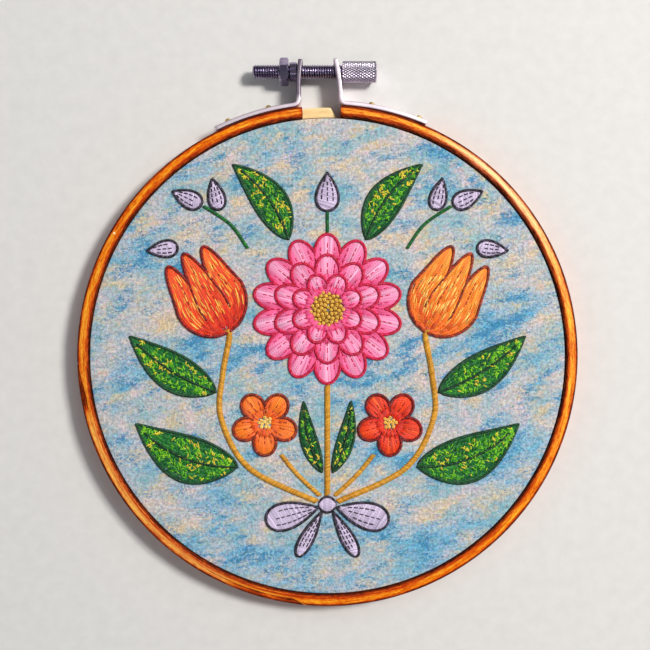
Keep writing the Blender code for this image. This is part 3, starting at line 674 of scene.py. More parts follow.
def mottled_cotton():
    """Plain weave cotton with a mottled print.

    The weave is a chequer of crests, the sine of x times the sine of y: over one thread, under the
    next, with painted shade in the hollows between crests.  Each crossing takes the dye a little
    differently, so every colour breaks into specks of one crossing, and flecks of two or three threads
    come out lighter or darker.
    """
    finish = Finish("mottled_cotton", Sheen_Weight=0.12, Sheen_Roughness=0.5, Specular_IOR_Level=0.15)
    weave = {0: finish.lay((1.0, 1.0, 1.0)), 1: (WEAVE, WEAVE, 1.0)}
    crossing = finish.node("VectorMath", weave, operation="SNAP")
    speck = finish.node("TexWhiteNoise", {"Vector": crossing.outputs["Vector"]}, noise_dimensions="2D")
    cloud = finish.noise(finish.lay((1.2, 1.8, 1.0)), detail=4.0, rough=0.75)
    tooth = finish.math("MULTIPLY_ADD", speck.outputs["Value"], 0.14, finish.math("MULTIPLY", cloud, 0.86))
    colour = cotton_print(finish, tooth)
    colour = finish.mix(0.24, colour, speck.outputs["Color"], "SOFT_LIGHT")
    warp_tone = finish.noise(finish.lay((2.6, 0.10, 1.0)), detail=1.0)
    weft_tone = finish.noise(finish.lay((0.3, 2.6, 1.0)), detail=1.0)
    along = finish.node("SeparateXYZ", {0: finish.lay((math.pi / WEAVE, math.pi / WEAVE, 1.0))})
    warp, weft = finish.math("SINE", along.outputs["X"]), finish.math("SINE", along.outputs["Y"])
    chequer = finish.math("MULTIPLY", warp, weft)
    over = finish.span(chequer, -0.5, 0.5)
    tone = finish.node("Mix", {0: over, 2: warp_tone, 3: weft_tone}, data_type="FLOAT").outputs[0]
    slub = finish.span(tone, 0.25, 0.75, 0.90, 1.12)
    # Painted shade in the hollows between the weave's crests
    hollow_shade = finish.span(finish.math("ABSOLUTE", chequer), 0.0, 0.35, 0.80, 1.03)
    fleck = finish.noise(finish.lay((1.0, 1.0, 9.0)), detail=3.0, rough=0.9)
    dyed = finish.span(fleck, 0.40, 0.60, 0.70, 1.24)
    shade = finish.math("MULTIPLY", finish.math("MULTIPLY", slub, dyed), hollow_shade)
    grey = finish.node("CombineColor", {0: shade, 1: shade, 2: shade}).outputs[0]
    colour = finish.mix(1.0, colour, grey, "MULTIPLY")
    pucker = finish.noise(finish.lay((0.16, 0.16, 1.0)), detail=2.0)
    relief = finish.bump(pucker, 0.25)
    relief = finish.bump(finish.math("ABSOLUTE", chequer), 0.07, relief)
    rough = finish.span(tone, 0.2, 0.8, 0.82, 0.95)
    return finish.done(Base_Color=colour, Roughness=rough, Normal=relief)


def plated_metal(name, light, dark, shine):
    """Plated metal: fine rubbing marks and dull patches, and painted shade where the mark for it is high."""
    finish = Finish(name, Metallic=1.0)
    smears = finish.noise(finish.solid((0.25, 0.4, 0.4)), detail=5.0, rough=0.6)
    rubbing = finish.noise(finish.solid((0.4, 9.0, 9.0)), detail=2.0)
    colour = finish.ramp(smears, (0.34, dark), (0.56, light))
    # Painted shade: darker violet where the mark is high, in grooves and on the left leg
    colour = finish.mix(finish.mark("painted_shade"), colour, paint(62, 50, 74))
    dull = finish.span(smears, 0.3, 0.7, shine + 0.03, shine - 0.05)
    rough = finish.math("MULTIPLY_ADD", rubbing, 0.10, dull)
    relief = finish.bump(finish.noise(finish.solid((1.1, 1.1, 1.1)), detail=2.0), 0.008)
    return finish.done(Base_Color=colour, Roughness=rough, Normal=relief)


def embroidery_thread(name, stops):
    """Glossy twisted thread: the mark shade picks its colour, the mark tone lightens or darkens it.

    Twist lines run slantwise round the thread with painted shade in their grooves, and fine fibres along it.
    """
    finish = Finish(name, Sheen_Weight=0.1, Sheen_Roughness=0.4, Specular_IOR_Level=0.45)
    colour = finish.ramp(finish.mark("shade"), *[(share, paint(*screen)) for share, screen in stops])
    fibres = finish.noise(finish.lay((1.6, 9.0, 1.0)), detail=2.0)
    turn = finish.node("SeparateXYZ", {0: finish.lay((FULL_TURN / TWIST_PITCH, FULL_TURN, 1.0))})
    twist = finish.math("SINE", finish.math("ADD", turn.outputs["X"], turn.outputs["Y"]))
    tone = finish.span(finish.mark("tone"), 0.0, 1.0, 0.66, 1.06)
    light = finish.math("SUBTRACT", finish.math("MULTIPLY_ADD", fibres, 0.30, tone), 0.12)
    # Painted shade in the twist's grooves
    light = finish.math("MULTIPLY_ADD", finish.span(twist, -1.0, -0.4, 0.0, 1.0), 0.14, light)
    grey = finish.node("CombineColor", {0: light, 1: light, 2: light}).outputs[0]
    colour = finish.mix(1.0, colour, grey, "MULTIPLY")
    relief = finish.bump(twist, 0.03)
    relief = finish.bump(fibres, 0.02, relief)
    rough = finish.span(fibres, 0.3, 0.7, 0.34, 0.5)
    return finish.done(Base_Color=colour, Roughness=rough, Normal=relief)


def pale_floor():
    """Plain pale floor with a faint tooth."""
    finish = Finish("pale_floor", Specular_IOR_Level=0.2)
    tooth = finish.noise(finish.solid((0.25, 0.25, 0.25)), detail=3.0)
    colour = finish.ramp(tooth, (0.3, paint(214, 213, 210)), (0.7, paint(220, 219, 216)))
    rough = finish.span(tooth, 0.3, 0.7, 0.75, 0.85)
    return finish.done(Base_Color=colour, Roughness=rough)


# Threads from their darkest shade to their lightest: columns are place in the ramp and screen colour
THREAD_COLOURS = {
    "pink_thread": ((0.0, (196, 8, 56)), (0.3, (232, 48, 112)), (0.65, (246, 116, 168)),
                    (1.0, (252, 190, 220))),
    "gold_thread": ((0.0, (112, 62, 6)), (0.5, (206, 140, 22)), (1.0, (250, 204, 84))),
    "red_thread": ((0.0, (96, 8, 8)), (0.3, (216, 30, 12)), (0.6, (244, 78, 22)), (0.82, (250, 150, 44)),
                   (1.0, (252, 206, 96))),
    "orange_thread": ((0.0, (110, 26, 6)), (0.3, (234, 84, 20)), (0.6, (250, 140, 36)),
                      (0.82, (252, 180, 66)), (1.0, (254, 218, 120))),
    "green_thread": ((0.0, (0, 46, 22)), (0.3, (2, 92, 40)), (0.55, (48, 150, 26)), (0.75, (130, 206, 30)),
                     (1.0, (238, 204, 64))),
    "white_thread": ((0.0, (16, 12, 22)), (0.45, (140, 124, 160)), (1.0, (222, 206, 234))),
}
FINISHES = {
    "stained_wood": stained_wood(),
    "bare_wood": bare_wood(),
    "cloth": mottled_cotton(),
    "nickel": plated_metal("nickel", paint(232, 222, 236), paint(196, 184, 206), 0.28),
    "nickel_strip": plated_metal("nickel_strip", paint(244, 230, 238), paint(222, 206, 219), 0.43),
    # A darker copy of the nickel: painted shade for the dark reflections of the shank and nuts
    "nickel_painted_dark": plated_metal("nickel_painted_dark", paint(172, 160, 188), paint(122, 110, 142), 0.17),
    "brass": plated_metal("brass", paint(248, 222, 150), paint(206, 164, 84), 0.44),
    **{name: embroidery_thread(name, stops) for name, stops in THREAD_COLOURS.items()},
}


# Wooden rings

def polar(radius, angle):
    """Point at a radius and an angle in radians."""
    return np.stack([radius * np.cos(angle), radius * np.sin(angle)], -1)


def bar_section(inner, outer, low, high, inner_round, outer_round, corner_steps=5, side_steps=4):
    """Closed sections of a bar, (stations, points, 2) as radius and height.

    Four quarter circles are joined by straight sides: outer upper, outer lower, inner lower and
    inner upper.  All sizes are arrays with one value a station.
    """
    foot = np.minimum(np.minimum(inner_round, outer_round), LOWER_EDGE_ROUND)
    corners = (
        (outer - outer_round, high - outer_round, outer_round, 90.0),
        (outer - foot, low + foot, foot, 0.0),
        (inner + foot, low + foot, foot, -90.0),
        (inner + inner_round, high - inner_round, inner_round, -180.0),
    )
    turn = np.linspace(0.0, 90.0, corner_steps)
    arcs = []
    for radius, height, rounding, start in corners:
        angle = np.radians(start - turn)
        arcs.append(np.stack([radius[:, None] + rounding[:, None] * np.cos(angle),
                              height[:, None] + rounding[:, None] * np.sin(angle)], -1))
    share = np.linspace(0.0, 1.0, side_steps + 2)[1:-1, None]
    pieces = []
    for arc, following in zip(arcs, arcs[1:] + arcs[:1]):
        pieces.append(arc)
        pieces.append(arc[:, -1:] * (1 - share) + following[:, :1] * share)
    return np.concatenate(pieces, axis=1)


def waves(angle, seed, terms=9, lowest=2):
    """Smooth wander between about -1 and 1: a sum of sines of the angle with random phases."""
    draw = np.random.default_rng(seed)
    orders = lowest + np.arange(terms)
    phases = draw.uniform(0, FULL_TURN, terms)
    heights = draw.uniform(0.4, 1.0, terms) / np.sqrt(terms)
    return (heights * np.sin(orders * np.asarray(angle)[..., None] + phases)).sum(-1)


def perimeter(section):
    """Distance round a closed section from its first point, with the way back as the last value."""
    steps = np.linalg.norm(np.diff(np.concatenate([section, section[:1]]), axis=0), axis=1)
    return np.concatenate([[0.0], np.cumsum(steps)])


def lap_thickness(degrees):
    """Thickness of the lap's outer leaf, read along LAP_ROWS; nothing beyond its ends."""
    rows = np.array(LAP_ROWS)
    return np.interp(degrees, rows[:, 0], rows[:, 1], left=0.0, right=0.0)


def smooth(value, low, high):
    """0 below low, 1 above high, and a soft rise between."""
    t = np.clip((value - low) / (high - low), 0.0, 1.0)
    return t * t * (3 - 2 * t)


def wear_and_sheen(station):
    """How much pale wood and painted highlight show through the stain at an angle in radians, read along the
    rows above.
    """
    rows = np.array(WEAR_AND_SHEEN_ROWS)
    return np.interp(np.degrees(station) % 360, rows[:, 0], rows[:, 1], period=360)


def uneven_face(station, radius, height):
    """Height with the face's slow waves, and its fall towards the outside by the square of the way."""
    across = (radius - RING_INNER_RADIUS) / RING_WIDTH
    top = smooth(height, RING_HEIGHT - 1.5, RING_HEIGHT - 0.2)
    tilt = waves(station, FACE_TILT_SEED, 24, 12)[:, None] * (across - 0.5)
    wander = waves(station, FACE_WAVE_SEED, 14, 3)[:, None] + 0.6 * tilt
    return height + top * (FACE_WAVE * (wander - 1.0) - FACE_FALL * across ** 2)


def outer_side_stain_and_shade(radius, height):
    """Stain and painted shade of the outer side: full on the upper edge, thinner below."""
    edge = smooth(radius, OUTER_RADIUS - 1.20, OUTER_RADIUS - 0.35)
    return edge * (0.42 + 0.55 * smooth(height, RING_HEIGHT - 2.6, RING_HEIGHT - 1.2))


def inner_edge_stain_and_shade(station, radius):
    """Stain and painted shade of the inner edge: a dark line and a band, whose reach and depth swing round
    the ring.
    """
    from_inside = radius - RING_INNER_RADIUS
    line = LINE_DEPTH * (1 - smooth(from_inside, 0.1, 1.0))
    reach = BAND_REACH + BAND_REACH_SWING * np.cos(2 * (station - BAND_WIDEST))[:, None]
    depth = BAND_DEPTH + BAND_DEPTH_SWING * np.cos(station - BAND_DEEPEST)[:, None]
    return np.maximum(line, depth * (1 - smooth(from_inside, reach - BAND_FADE, reach)))


def rough_lap(degrees):
    """1 where the lap is badly closed, at its start and along its splintered end, and 0 between."""
    return np.maximum(1 - smooth(degrees, *LAP_CLOSES), smooth(degrees, *LAP_OPENS))


def outer_ring():
    """Split ring: a rounded bar section carried round from the left sawn end to the right one.

    Every point of a sawn end has the same x, so its angle is the arc cosine of x over its radius.
    The lap's leaf is left out of its outer side.  Stain and painted shade sit on its edges, it is darker
    low down, stain sits along the lap's seam and on the sawn ends, and bare wood shows in a sliver at the
    lap's end.
    """
    share = np.linspace(0.0, 1.0, RING_STEPS)
    first = math.acos(SPLIT_LEFT_X / OUTER_RADIUS)
    last = FULL_TURN + math.acos(SPLIT_RIGHT_X / OUTER_RADIUS)
    station = first + (last - first) * share
    degrees = np.degrees(station)
    leaf = lap_thickness(degrees)
    outer = OUTER_RADIUS - leaf - np.where(leaf > 0, LAP_SEAM, 0.0)
    from_end = np.clip((last - station) * OUTER_RADIUS, 0.0, END_ROUND)
    inner = RING_INNER_RADIUS + END_ROUND - np.sqrt(END_ROUND ** 2 - (END_ROUND - from_end) ** 2)
    outer_round = np.where(leaf > 0, 0.05 + 0.10 * rough_lap(degrees), OUTER_EDGE_ROUND)
    outer_round = np.minimum(outer_round, (outer - inner) / 3)
    section = bar_section(inner, outer, np.zeros_like(outer), np.full_like(outer, RING_HEIGHT),
                          np.full_like(outer, INNER_EDGE_ROUND), outer_round)
    radius = section[..., 0]
    height = uneven_face(station, radius, section[..., 1])
    angle = np.arccos(np.clip(SPLIT_LEFT_X / radius[:1], -1, 1)) * (1 - share[:, None])
    angle = angle + (FULL_TURN + np.arccos(SPLIT_RIGHT_X / radius[:1])) * share[:, None]
    grid = np.concatenate([polar(radius, angle), height[..., None]], -1)
    low_down = 0.3 * (1 - smooth(height, 1.0, RING_HEIGHT - 0.6))
    near_seam = smooth(radius, (outer - 0.30)[:, None], outer[:, None]) * smooth(leaf, 0.2, 0.5)[:, None]
    seam = near_seam * (0.22 + 0.7 * (1 - smooth(degrees, *LAP_CLOSES)))[:, None]
    from_sawn = np.minimum(station - first, last - station) * OUTER_RADIUS
    sawn = np.broadcast_to(0.5 * (1 - smooth(from_sawn, 0.0, 1.5))[:, None], radius.shape)
    stain_and_shade = np.maximum.reduce([inner_edge_stain_and_shade(station, radius), outer_side_stain_and_shade(radius, height),
                               low_down, seam, sawn])
    sliver = smooth(degrees, *SLIVER_COMES) * (1 - smooth(degrees, *SLIVER_GOES))
    pale = smooth(radius, (outer - 0.5)[:, None], (outer - 0.25)[:, None]) * sliver[:, None]
    stain_and_shade = np.clip(stain_and_shade * (1 - 0.9 * pale), 0, 1)
    surface = capped(grid[None], (station * OUTER_RADIUS)[None], perimeter(section[0]),
                     {"stain_and_shade": stain_and_shade[None], "wear_and_sheen": np.maximum(wear_and_sheen(station)[:, None], 0.6 * pale)[None]})
    piece = make_object("outer_ring_bent", turned_out(surface), FINISHES["stained_wood"])
    return fit(piece, "hoop", "stained_wood", "outer_ring")


def lap_leaf():
    """Outer leaf of the glued lap: its inner side follows LAP_ROWS with a fine splintered wander."""
    rows = np.array(LAP_ROWS)
    degrees = np.linspace(rows[0, 0], rows[-1, 0], LAP_STEPS)
    station = np.radians(degrees)
    rough = rough_lap(degrees)
    ragged = smooth(degrees, *LEAF_FRAYS) * LAP_SPLINTER
    splinters = np.clip(np.abs(waves(station, SPLINTER_SEED, 30, 36)), 0, 1)
    inner = OUTER_RADIUS - lap_thickness(degrees) + ragged * splinters
    inner = np.minimum(inner, OUTER_RADIUS - LAP_TIP)
    outer = np.full_like(inner, OUTER_RADIUS)
    sunk = 0.03 + rough * (0.28 + 0.14 * waves(station, SUNK_SEED, 30, 14))
    high = RING_HEIGHT - np.clip(sunk, 0.02, 0.6)
    edge = np.minimum(0.05 + 0.17 * rough, (outer - inner) / 3)
    section = bar_section(inner, outer, np.zeros_like(inner), high, edge,
                          np.minimum(OUTER_EDGE_ROUND, (outer - inner) / 3))
    radius = section[..., 0]
    height = uneven_face(station, radius, section[..., 1])
    grid = np.concatenate([polar(radius, station[:, None]), height[..., None]], -1)
    dark_start = 0.85 * (1 - smooth(degrees, *LEAF_BRIGHTENS))
    streaky = 0.75 + 0.25 * waves(station, DARK_END_SEED, 30, 30)
    dark_end = 0.85 * smooth(degrees, *LEAF_DARKENS) * streaky
    seam = (0.15 + 0.4 * rough)[:, None] * (1 - smooth(radius - inner[:, None], 0.0, 0.30))
    dark = np.maximum(dark_start, dark_end)[:, None] * (0.45 + 0.55 * smooth(height, 4.0, RING_HEIGHT - 0.8))
    stain_and_shade = np.clip(np.maximum.reduce([dark, seam, outer_side_stain_and_shade(radius, height)]), 0, 1)
    around = perimeter(section[LEAF_MAP_SECTION]) + LEAF_MAP_SHIFT
    surface = capped(grid[None], (station * OUTER_RADIUS)[None], around,
                     {"stain_and_shade": stain_and_shade[None], "wear_and_sheen": wear_and_sheen(station)[None]})
    piece = make_object("outer_ring_leaf", turned_out(surface), FINISHES["stained_wood"])
    return fit(piece, "hoop", "stained_wood", "outer_ring_lap")


def inner_ring():
    """Plain ring under the cloth: the same rounded bar section carried all the way round."""
    station = np.linspace(0.0, FULL_TURN, INNER_RING_STEPS + 1)[:-1]
    same = np.ones_like(station)
    outside = CLOTH_RADIUS - CLOTH_THICKNESS - SNUG
    high = CLOTH_TOP - CLOTH_THICKNESS - SNUG
    rounding = INNER_RING_ROUND * same
    section = bar_section(INNER_RING_INSIDE * same, outside * same, 0 * same, high * same, rounding, rounding,
                          4, 1)
    grid = np.concatenate([polar(section[..., 0], station[:, None]), section[..., 1:]], -1)
    along = np.append(station, FULL_TURN) * outside
    surface = looped(grid, along, perimeter(section[0]))
    piece = make_object("inner_ring_bent", turned_out(surface), FINISHES["bare_wood"])
    return fit(piece, "hoop", "bare_wood", "inner_ring")


def split_filler():
    """Pale block in the split: a bar section carried from the ring's left end to a slanted end.

    x runs evenly between both ends, and y keeps each point at its own radius.
    """
    inner, outer = RING_INNER_RADIUS + FILLER_INNER_INSET, OUTER_RADIUS - FILLER_OUTER_INSET
    share = np.linspace(0.0, 1.0, FILLER_STEPS)
    same = np.ones_like(share)
    section = bar_section(inner * same, outer * same, 0 * same, FILLER_HEIGHT * same, 0.15 * same, 0.2 * same)
    radius = section[..., 0]
    end_x = np.interp(radius, (inner, outer), (FILLER_INNER_END_X, FILLER_OUTER_END_X))
    start_x = SPLIT_LEFT_X + FILLER_START_GAP
    x = start_x + (end_x - start_x) * share[:, None]
    lowered = FILLER_END_DROP * smooth(share, 0.9, 1.0)[:, None]
    height = section[..., 1] - lowered * (section[..., 1] > FILLER_HEIGHT - 0.4)
    grid = np.stack([x, np.sqrt(radius ** 2 - x ** 2), height], -1)
    surface = capped(grid[None], (x[:, 0])[None], perimeter(section[0]))
    piece = make_object("split_filler_block", turned_out(surface), FINISHES["bare_wood"])
    return fit(piece, "hoop", "bare_wood", "split_filler")


def stretched_cloth():
    """Cloth as a drum-tight sheet turned down between the rings, mapped by its flat cut.

    Rings of points run from the middle to the rim, round a quarter circle and down to the hem.
    A point's map is its distance along the cloth from the middle, in its own direction.
    """
    spokes = CLOTH_SPOKES
    flat_end = CLOTH_RADIUS - CLOTH_EDGE_ROUND
    out = np.linspace(0.0, flat_end, CLOTH_ROUNDS)[1:]
    bend = np.radians(np.linspace(90.0, 0.0, 6))[1:]
    down = np.linspace(CLOTH_TOP - CLOTH_EDGE_ROUND, CLOTH_HEM, 6)[1:]
    radius = np.concatenate([out, flat_end + CLOTH_EDGE_ROUND * np.cos(bend),
                             np.full(len(down), CLOTH_RADIUS)])
    height = np.concatenate([np.full(len(out), CLOTH_TOP),
                             CLOTH_TOP - CLOTH_EDGE_ROUND * (1 - np.sin(bend)), down])
    steps = np.hypot(np.diff(np.append(0.0, radius)), np.diff(np.append(CLOTH_TOP, height)))
    reach = np.cumsum(steps)
    angle = np.linspace(0.0, FULL_TURN, spokes + 1)[:-1]
    plan = polar(radius[:, None], angle[None, :])
    sag = CLOTH_SAG * (np.sin(0.21 * plan[..., 0] + 0.7) * np.sin(0.17 * plan[..., 1] - 0.4) - 1.0)
    rise = height[:, None] + sag * smooth(flat_end - radius, 0.0, 6.0)[:, None]
    near_hem = smooth(-height, -CLOTH_TOP + 2, -CLOTH_HEM)[:, None]
    hem_wander = HEM_WANDER * waves(angle, HEM_SEED, 9, 3) * near_hem
    grid = np.concatenate([plan, (rise + np.abs(hem_wander))[..., None]], -1)
    flat = polar(reach[:, None], angle[None, :])
    rows = len(radius)
    points = np.concatenate([grid.reshape(-1, 3), [[0.0, 0.0, CLOTH_TOP - 0.03]]])
    maps = np.concatenate([flat.reshape(-1, 2), [[0.0, 0.0]]])
    i, j = np.meshgrid(np.arange(rows - 1), np.arange(spokes), indexing="ij")
    k = (j + 1) % spokes
    quads = np.stack([i * spokes + j, (i + 1) * spokes + j, (i + 1) * spokes + k, i * spokes + k], -1)
    quads = quads.reshape(-1, 4)
    spoke = np.arange(spokes)
    triangles = np.stack([np.full(spokes, rows * spokes), spoke, (spoke + 1) % spokes], -1)
    surface = Surface(points, quads, maps[quads], triangles, maps[triangles])
    piece = make_object("cloth_stretched", surface, FINISHES["cloth"], sharp=ALL_SMOOTH)
    shell = piece.modifiers.new("Thickness", "SOLIDIFY")
    shell.thickness = CLOTH_THICKNESS * MM
    shell.offset = -1.0
    fit(piece, "hoop", "cloth", "cloth")
    return piece


# Metal fittings

def bent_strip(far, corner_x, top):
    """Middle line of a bracket: an arc for the foot, a soft bend, and a leg that bows a little."""
    corner = np.array([corner_x, math.sqrt(FOOT_RADIUS ** 2 - corner_x ** 2)])
    corner_angle = math.atan2(corner[1], corner[0])
    far = math.radians(far)
    near = corner_angle + math.copysign(BEND_LENGTH / FOOT_RADIUS, far - corner_angle)
    foot = polar(FOOT_RADIUS, np.linspace(far, near, STRIP_STEPS))
    top = np.array(top)
    upward = (top - corner) / np.linalg.norm(top - corner)
    leg_start = corner + upward * BEND_LENGTH
    t = np.linspace(0.0, 1.0, 9)[1:-1, None]
    bend = foot[-1] * (1 - t) ** 2 + corner * 2 * t * (1 - t) + leg_start * t ** 2
    s = np.linspace(0.0, 1.0, STRIP_STEPS)[:, None]
    aside = np.array([upward[1], -upward[0]]) * math.copysign(LEG_BOW, -corner_x)
    leg = leg_start + (top - leg_start) * s - aside * 4 * s * (1 - s)
    return np.concatenate([foot, bend, leg])


def bracket(name, shape, pins):
    """Strip of rounded oblong section carried along its middle line, its ends eased, then drilled.

    Within STRIP_ROUND of an end the section shrinks on all sides by a quarter circle's fall.
    """
    path = bent_strip(**shape)
    distance = np.concatenate([[0.0], np.cumsum(np.linalg.norm(np.diff(path, axis=0), axis=1))])
    total = distance[-1]
    ends = STRIP_ROUND * np.array([0.0, 0.12, 0.4, 1.0])
    kept = distance[(distance > STRIP_ROUND * 1.3) & (distance < total - STRIP_ROUND * 1.3)]
    stations = np.concatenate([ends, kept, total - ends[::-1]])
    path = np.stack([np.interp(stations, distance, path[:, axis]) for axis in (0, 1)], -1)
    along = np.gradient(path, axis=0)
    along /= np.linalg.norm(along, axis=1, keepdims=True)
    normal = np.stack([-along[:, 1], along[:, 0]], -1)
    near_end = np.minimum(stations, total - stations).clip(0.0, STRIP_ROUND)
    inset = STRIP_ROUND - np.sqrt(STRIP_ROUND ** 2 - (STRIP_ROUND - near_end) ** 2)
    half = STRIP_THICKNESS / 2 - inset
    rounding = np.maximum(STRIP_ROUND - inset, 0.05)
    section = bar_section(-half, half, STRIP_LOW + inset, STRIP_HIGH - inset, rounding, rounding, 4, 3)
    plan = path[:, None, :] + normal[:, None, :] * section[..., :1]
    grid = np.concatenate([plan, section[..., 1:]], -1)
    # Painted shade up each leg, away from its foot, standing in for a darker reflection
    leg_shade = LEG_PAINTED_SHADE[name] * smooth(path[:, 1], FOOT_RADIUS + 0.5, FOOT_RADIUS + 3.0)
    surface = turned_out(capped(grid[None], stations[None], perimeter(section[5]), {"painted_shade": leg_shade[None]}))
    piece = make_object(name + "_bent", surface, FINISHES["nickel_strip"])
    start, end = (np.array([shape["top"][0] + way, SCREW_Y, SCREW_Z]) for way in SCREW_DRILL)
    drills = [drill(start, end, HOLE_RADIUS)]
    for pin_name in pins:
        angle = math.radians(PIN_ANGLES[pin_name])
        start, end = (np.append(polar(FOOT_RADIUS + way, angle), SCREW_Z) for way in PIN_DRILL)
        drills.append(drill(start, end, PIN_SHANK_RADIUS + PIN_PLAY))
    bore(piece, drills)
    return fit(piece, "hoop", "nickel", name)


def about_axis(start, direction, distance, radius, angle):
    """Points round an axis: radius and distance from start along it, as (stations, sides, 3)."""
    direction = np.asarray(direction, float)
    side = np.cross([0.0, 0.0, 1.0], direction)
    side /= np.linalg.norm(side)
    up = np.cross(direction, side)
    round_it = np.cos(angle)[..., None] * side + np.sin(angle)[..., None] * up
    return np.asarray(start) + distance[..., None] * direction + radius[..., None] * round_it


def turned_piece(name, start, direction, profile, sides, material, sharp=SHARP_EDGE):
    """Solid turned about an axis from rows of (distance, radius), closed by its end points."""
    distance, radius = np.array(profile).T
    angle = np.linspace(0.0, FULL_TURN, sides + 1)[:-1]
    distances, radii = np.tile(distance[:, None], sides), np.tile(radius[:, None], sides)
    grid = about_axis(start, direction, distances, radii, angle)
    around = np.linspace(0.0, FULL_TURN * radius.max(), sides + 1)
    surface = turned_out(capped(grid[None], distance[None], around))
    return make_object(name, surface, material, sharp=sharp)


def drill(start, end, radius):
    """Round cutter between two points, for bore() alone."""
    length = float(np.linalg.norm(end - start))
    profile = [(0.0, radius), (length, radius)]
    return turned_piece("drill", start, (end - start) / length, profile, DRILL_SIDES, FINISHES["nickel"])


def bore(piece, drills):
    """Cut the drills out of a piece for good, and take them away again."""
    for cutter in drills:
        cut = piece.modifiers.new("Bore", "BOOLEAN")
        cut.operation = "DIFFERENCE"
        cut.object = cutter
    evaluated = piece.evaluated_get(bpy.context.evaluated_depsgraph_get())
    mesh = bpy.data.meshes.new_from_object(evaluated)
    piece.modifiers.clear()
    piece.data = mesh
    mesh.shade_smooth()
    mesh.set_sharp_from_angle(angle=math.radians(SHARP_EDGE))
    for cutter in drills:
        bpy.data.objects.remove(cutter, do_unlink=True)


def pin(name, degrees):
    """Small brass pin: a low dome on a straight shank with a short point."""
    direction = np.append(polar(1.0, math.radians(degrees)), 0.0)
    dome = np.radians(np.linspace(88.0, 0.0, 8))
    tip = OUTER_RADIUS - PIN_DEPTH
    profile = [(PIN_SEAT + PIN_HEAD_HEIGHT * math.sin(a), PIN_HEAD_RADIUS * math.cos(a) ** 0.8) for a in dome]
    profile += [(PIN_SEAT, PIN_HEAD_RADIUS * 0.97), (PIN_SEAT, PIN_SHANK_RADIUS),
                (tip + 0.5, PIN_SHANK_RADIUS), (tip, 0.05)]
    middle = (0.0, 0.0, SCREW_Z)
    piece = turned_piece(name + "_domed", middle, direction, profile, PIN_SIDES, FINISHES["brass"], 50.0)
    return fit(piece, "hoop", "brass", name)


def screw_thread():
    """Threaded shank: the radius swings from root to flat crest with the place along the helix.

    The swing is a raised cosine of the phase, distance over pitch less the angle, cut off at 1.
    """
    turns = (HEAD_START_X - THREAD_TIP_X) / THREAD_PITCH
    rows = int(turns * STEPS_PER_TURN)
    distance = np.linspace(THREAD_TIP_X, HEAD_START_X + 0.2, rows)[:, None]
    angle = np.linspace(0.0, FULL_TURN, THREAD_SIDES + 1)[:-1][None, :]
    phase = FULL_TURN * distance / THREAD_PITCH - angle
    ridge = np.minimum(CREST_FLATNESS * (0.5 + 0.5 * np.cos(phase)), 1.0)
    radius = CREST_RADIUS - THREAD_DEPTH * (1 - ridge)
    radius = np.minimum(radius, CREST_RADIUS - TIP_CHAMFER + (distance - THREAD_TIP_X))
    start = (0.0, SCREW_Y, SCREW_Z)
    grid = about_axis(start, (1.0, 0.0, 0.0), np.broadcast_to(distance, radius.shape), radius, angle[0])
    around = np.linspace(0.0, FULL_TURN * CREST_RADIUS, THREAD_SIDES + 1)
    # Painted shade in the thread's roots, between its flat crests
    surface = turned_out(capped(grid[None], distance.T, around, {"painted_shade": 0.85 * (1 - ridge)[None] ** 1.5}))
    piece = make_object("thumb_screw_shank", surface, FINISHES["nickel_painted_dark"], sharp=60.0)
    return fit(piece, "thumb_screw", "nickel", "thumb_screw")


def screw_head():
    """Knurled head: two crossed sets of slanting grooves leave rows of small diamonds."""
    distance = np.arange(HEAD_START_X, HEAD_END_X + KNURL_STEP / 2, KNURL_STEP)[:, None]
    sides = KNURL_RIDGES * 8
    angle = np.linspace(0.0, FULL_TURN, sides + 1)[:-1][None, :]
    lead = KNURL_RIDGES * KNURL_SLANT / HEAD_RADIUS
    one = np.abs((KNURL_RIDGES * angle + lead * distance) / math.pi % 2 - 1)
    other = np.abs((KNURL_RIDGES * angle - lead * distance) / math.pi % 2 - 1)
    diamond = np.minimum(np.minimum(one, other), KNURL_FLAT)
    from_end = np.minimum(distance - HEAD_START_X, HEAD_END_X - distance)
    plain = smooth(HEAD_END_X - distance, 0.25, 0.6)
    radius = HEAD_RADIUS - KNURL_DEPTH * (1 - diamond) * plain
    eased = HEAD_RADIUS - HEAD_CHAMFER + np.sqrt(np.maximum(from_end, 0.0) * HEAD_CHAMFER * 1.6)
    radius = np.minimum(radius, eased)
    inward = HEAD_FACE[:, None] * (HEAD_RADIUS - HEAD_CHAMFER)
    flat = np.ones((3, sides))
    radius = np.concatenate([inward[::-1] * flat, radius, inward * flat])
    places = np.concatenate([np.full((3, sides), HEAD_START_X), distance * np.ones((1, sides)),
                             (HEAD_END_X + HEAD_DISH[:, None]) * flat])
    grid = about_axis((0.0, SCREW_Y, SCREW_Z), (1.0, 0.0, 0.0), places, radius, angle[0])
    around = np.linspace(0.0, FULL_TURN * HEAD_RADIUS, sides + 1)
    # Painted shade in the knurl's grooves
    painted_shade = np.concatenate([0 * flat, 0.6 * smooth(1 - diamond, 0.40, 0.85) * plain, 0 * flat])
    surface = turned_out(capped(grid[None], places[:, :1].T, around, {"painted_shade": painted_shade[None]}))
    piece = make_object("thumb_screw_knurled_head", surface, FINISHES["nickel"], sharp=70.0)
    return fit(piece, "thumb_screw", "nickel")


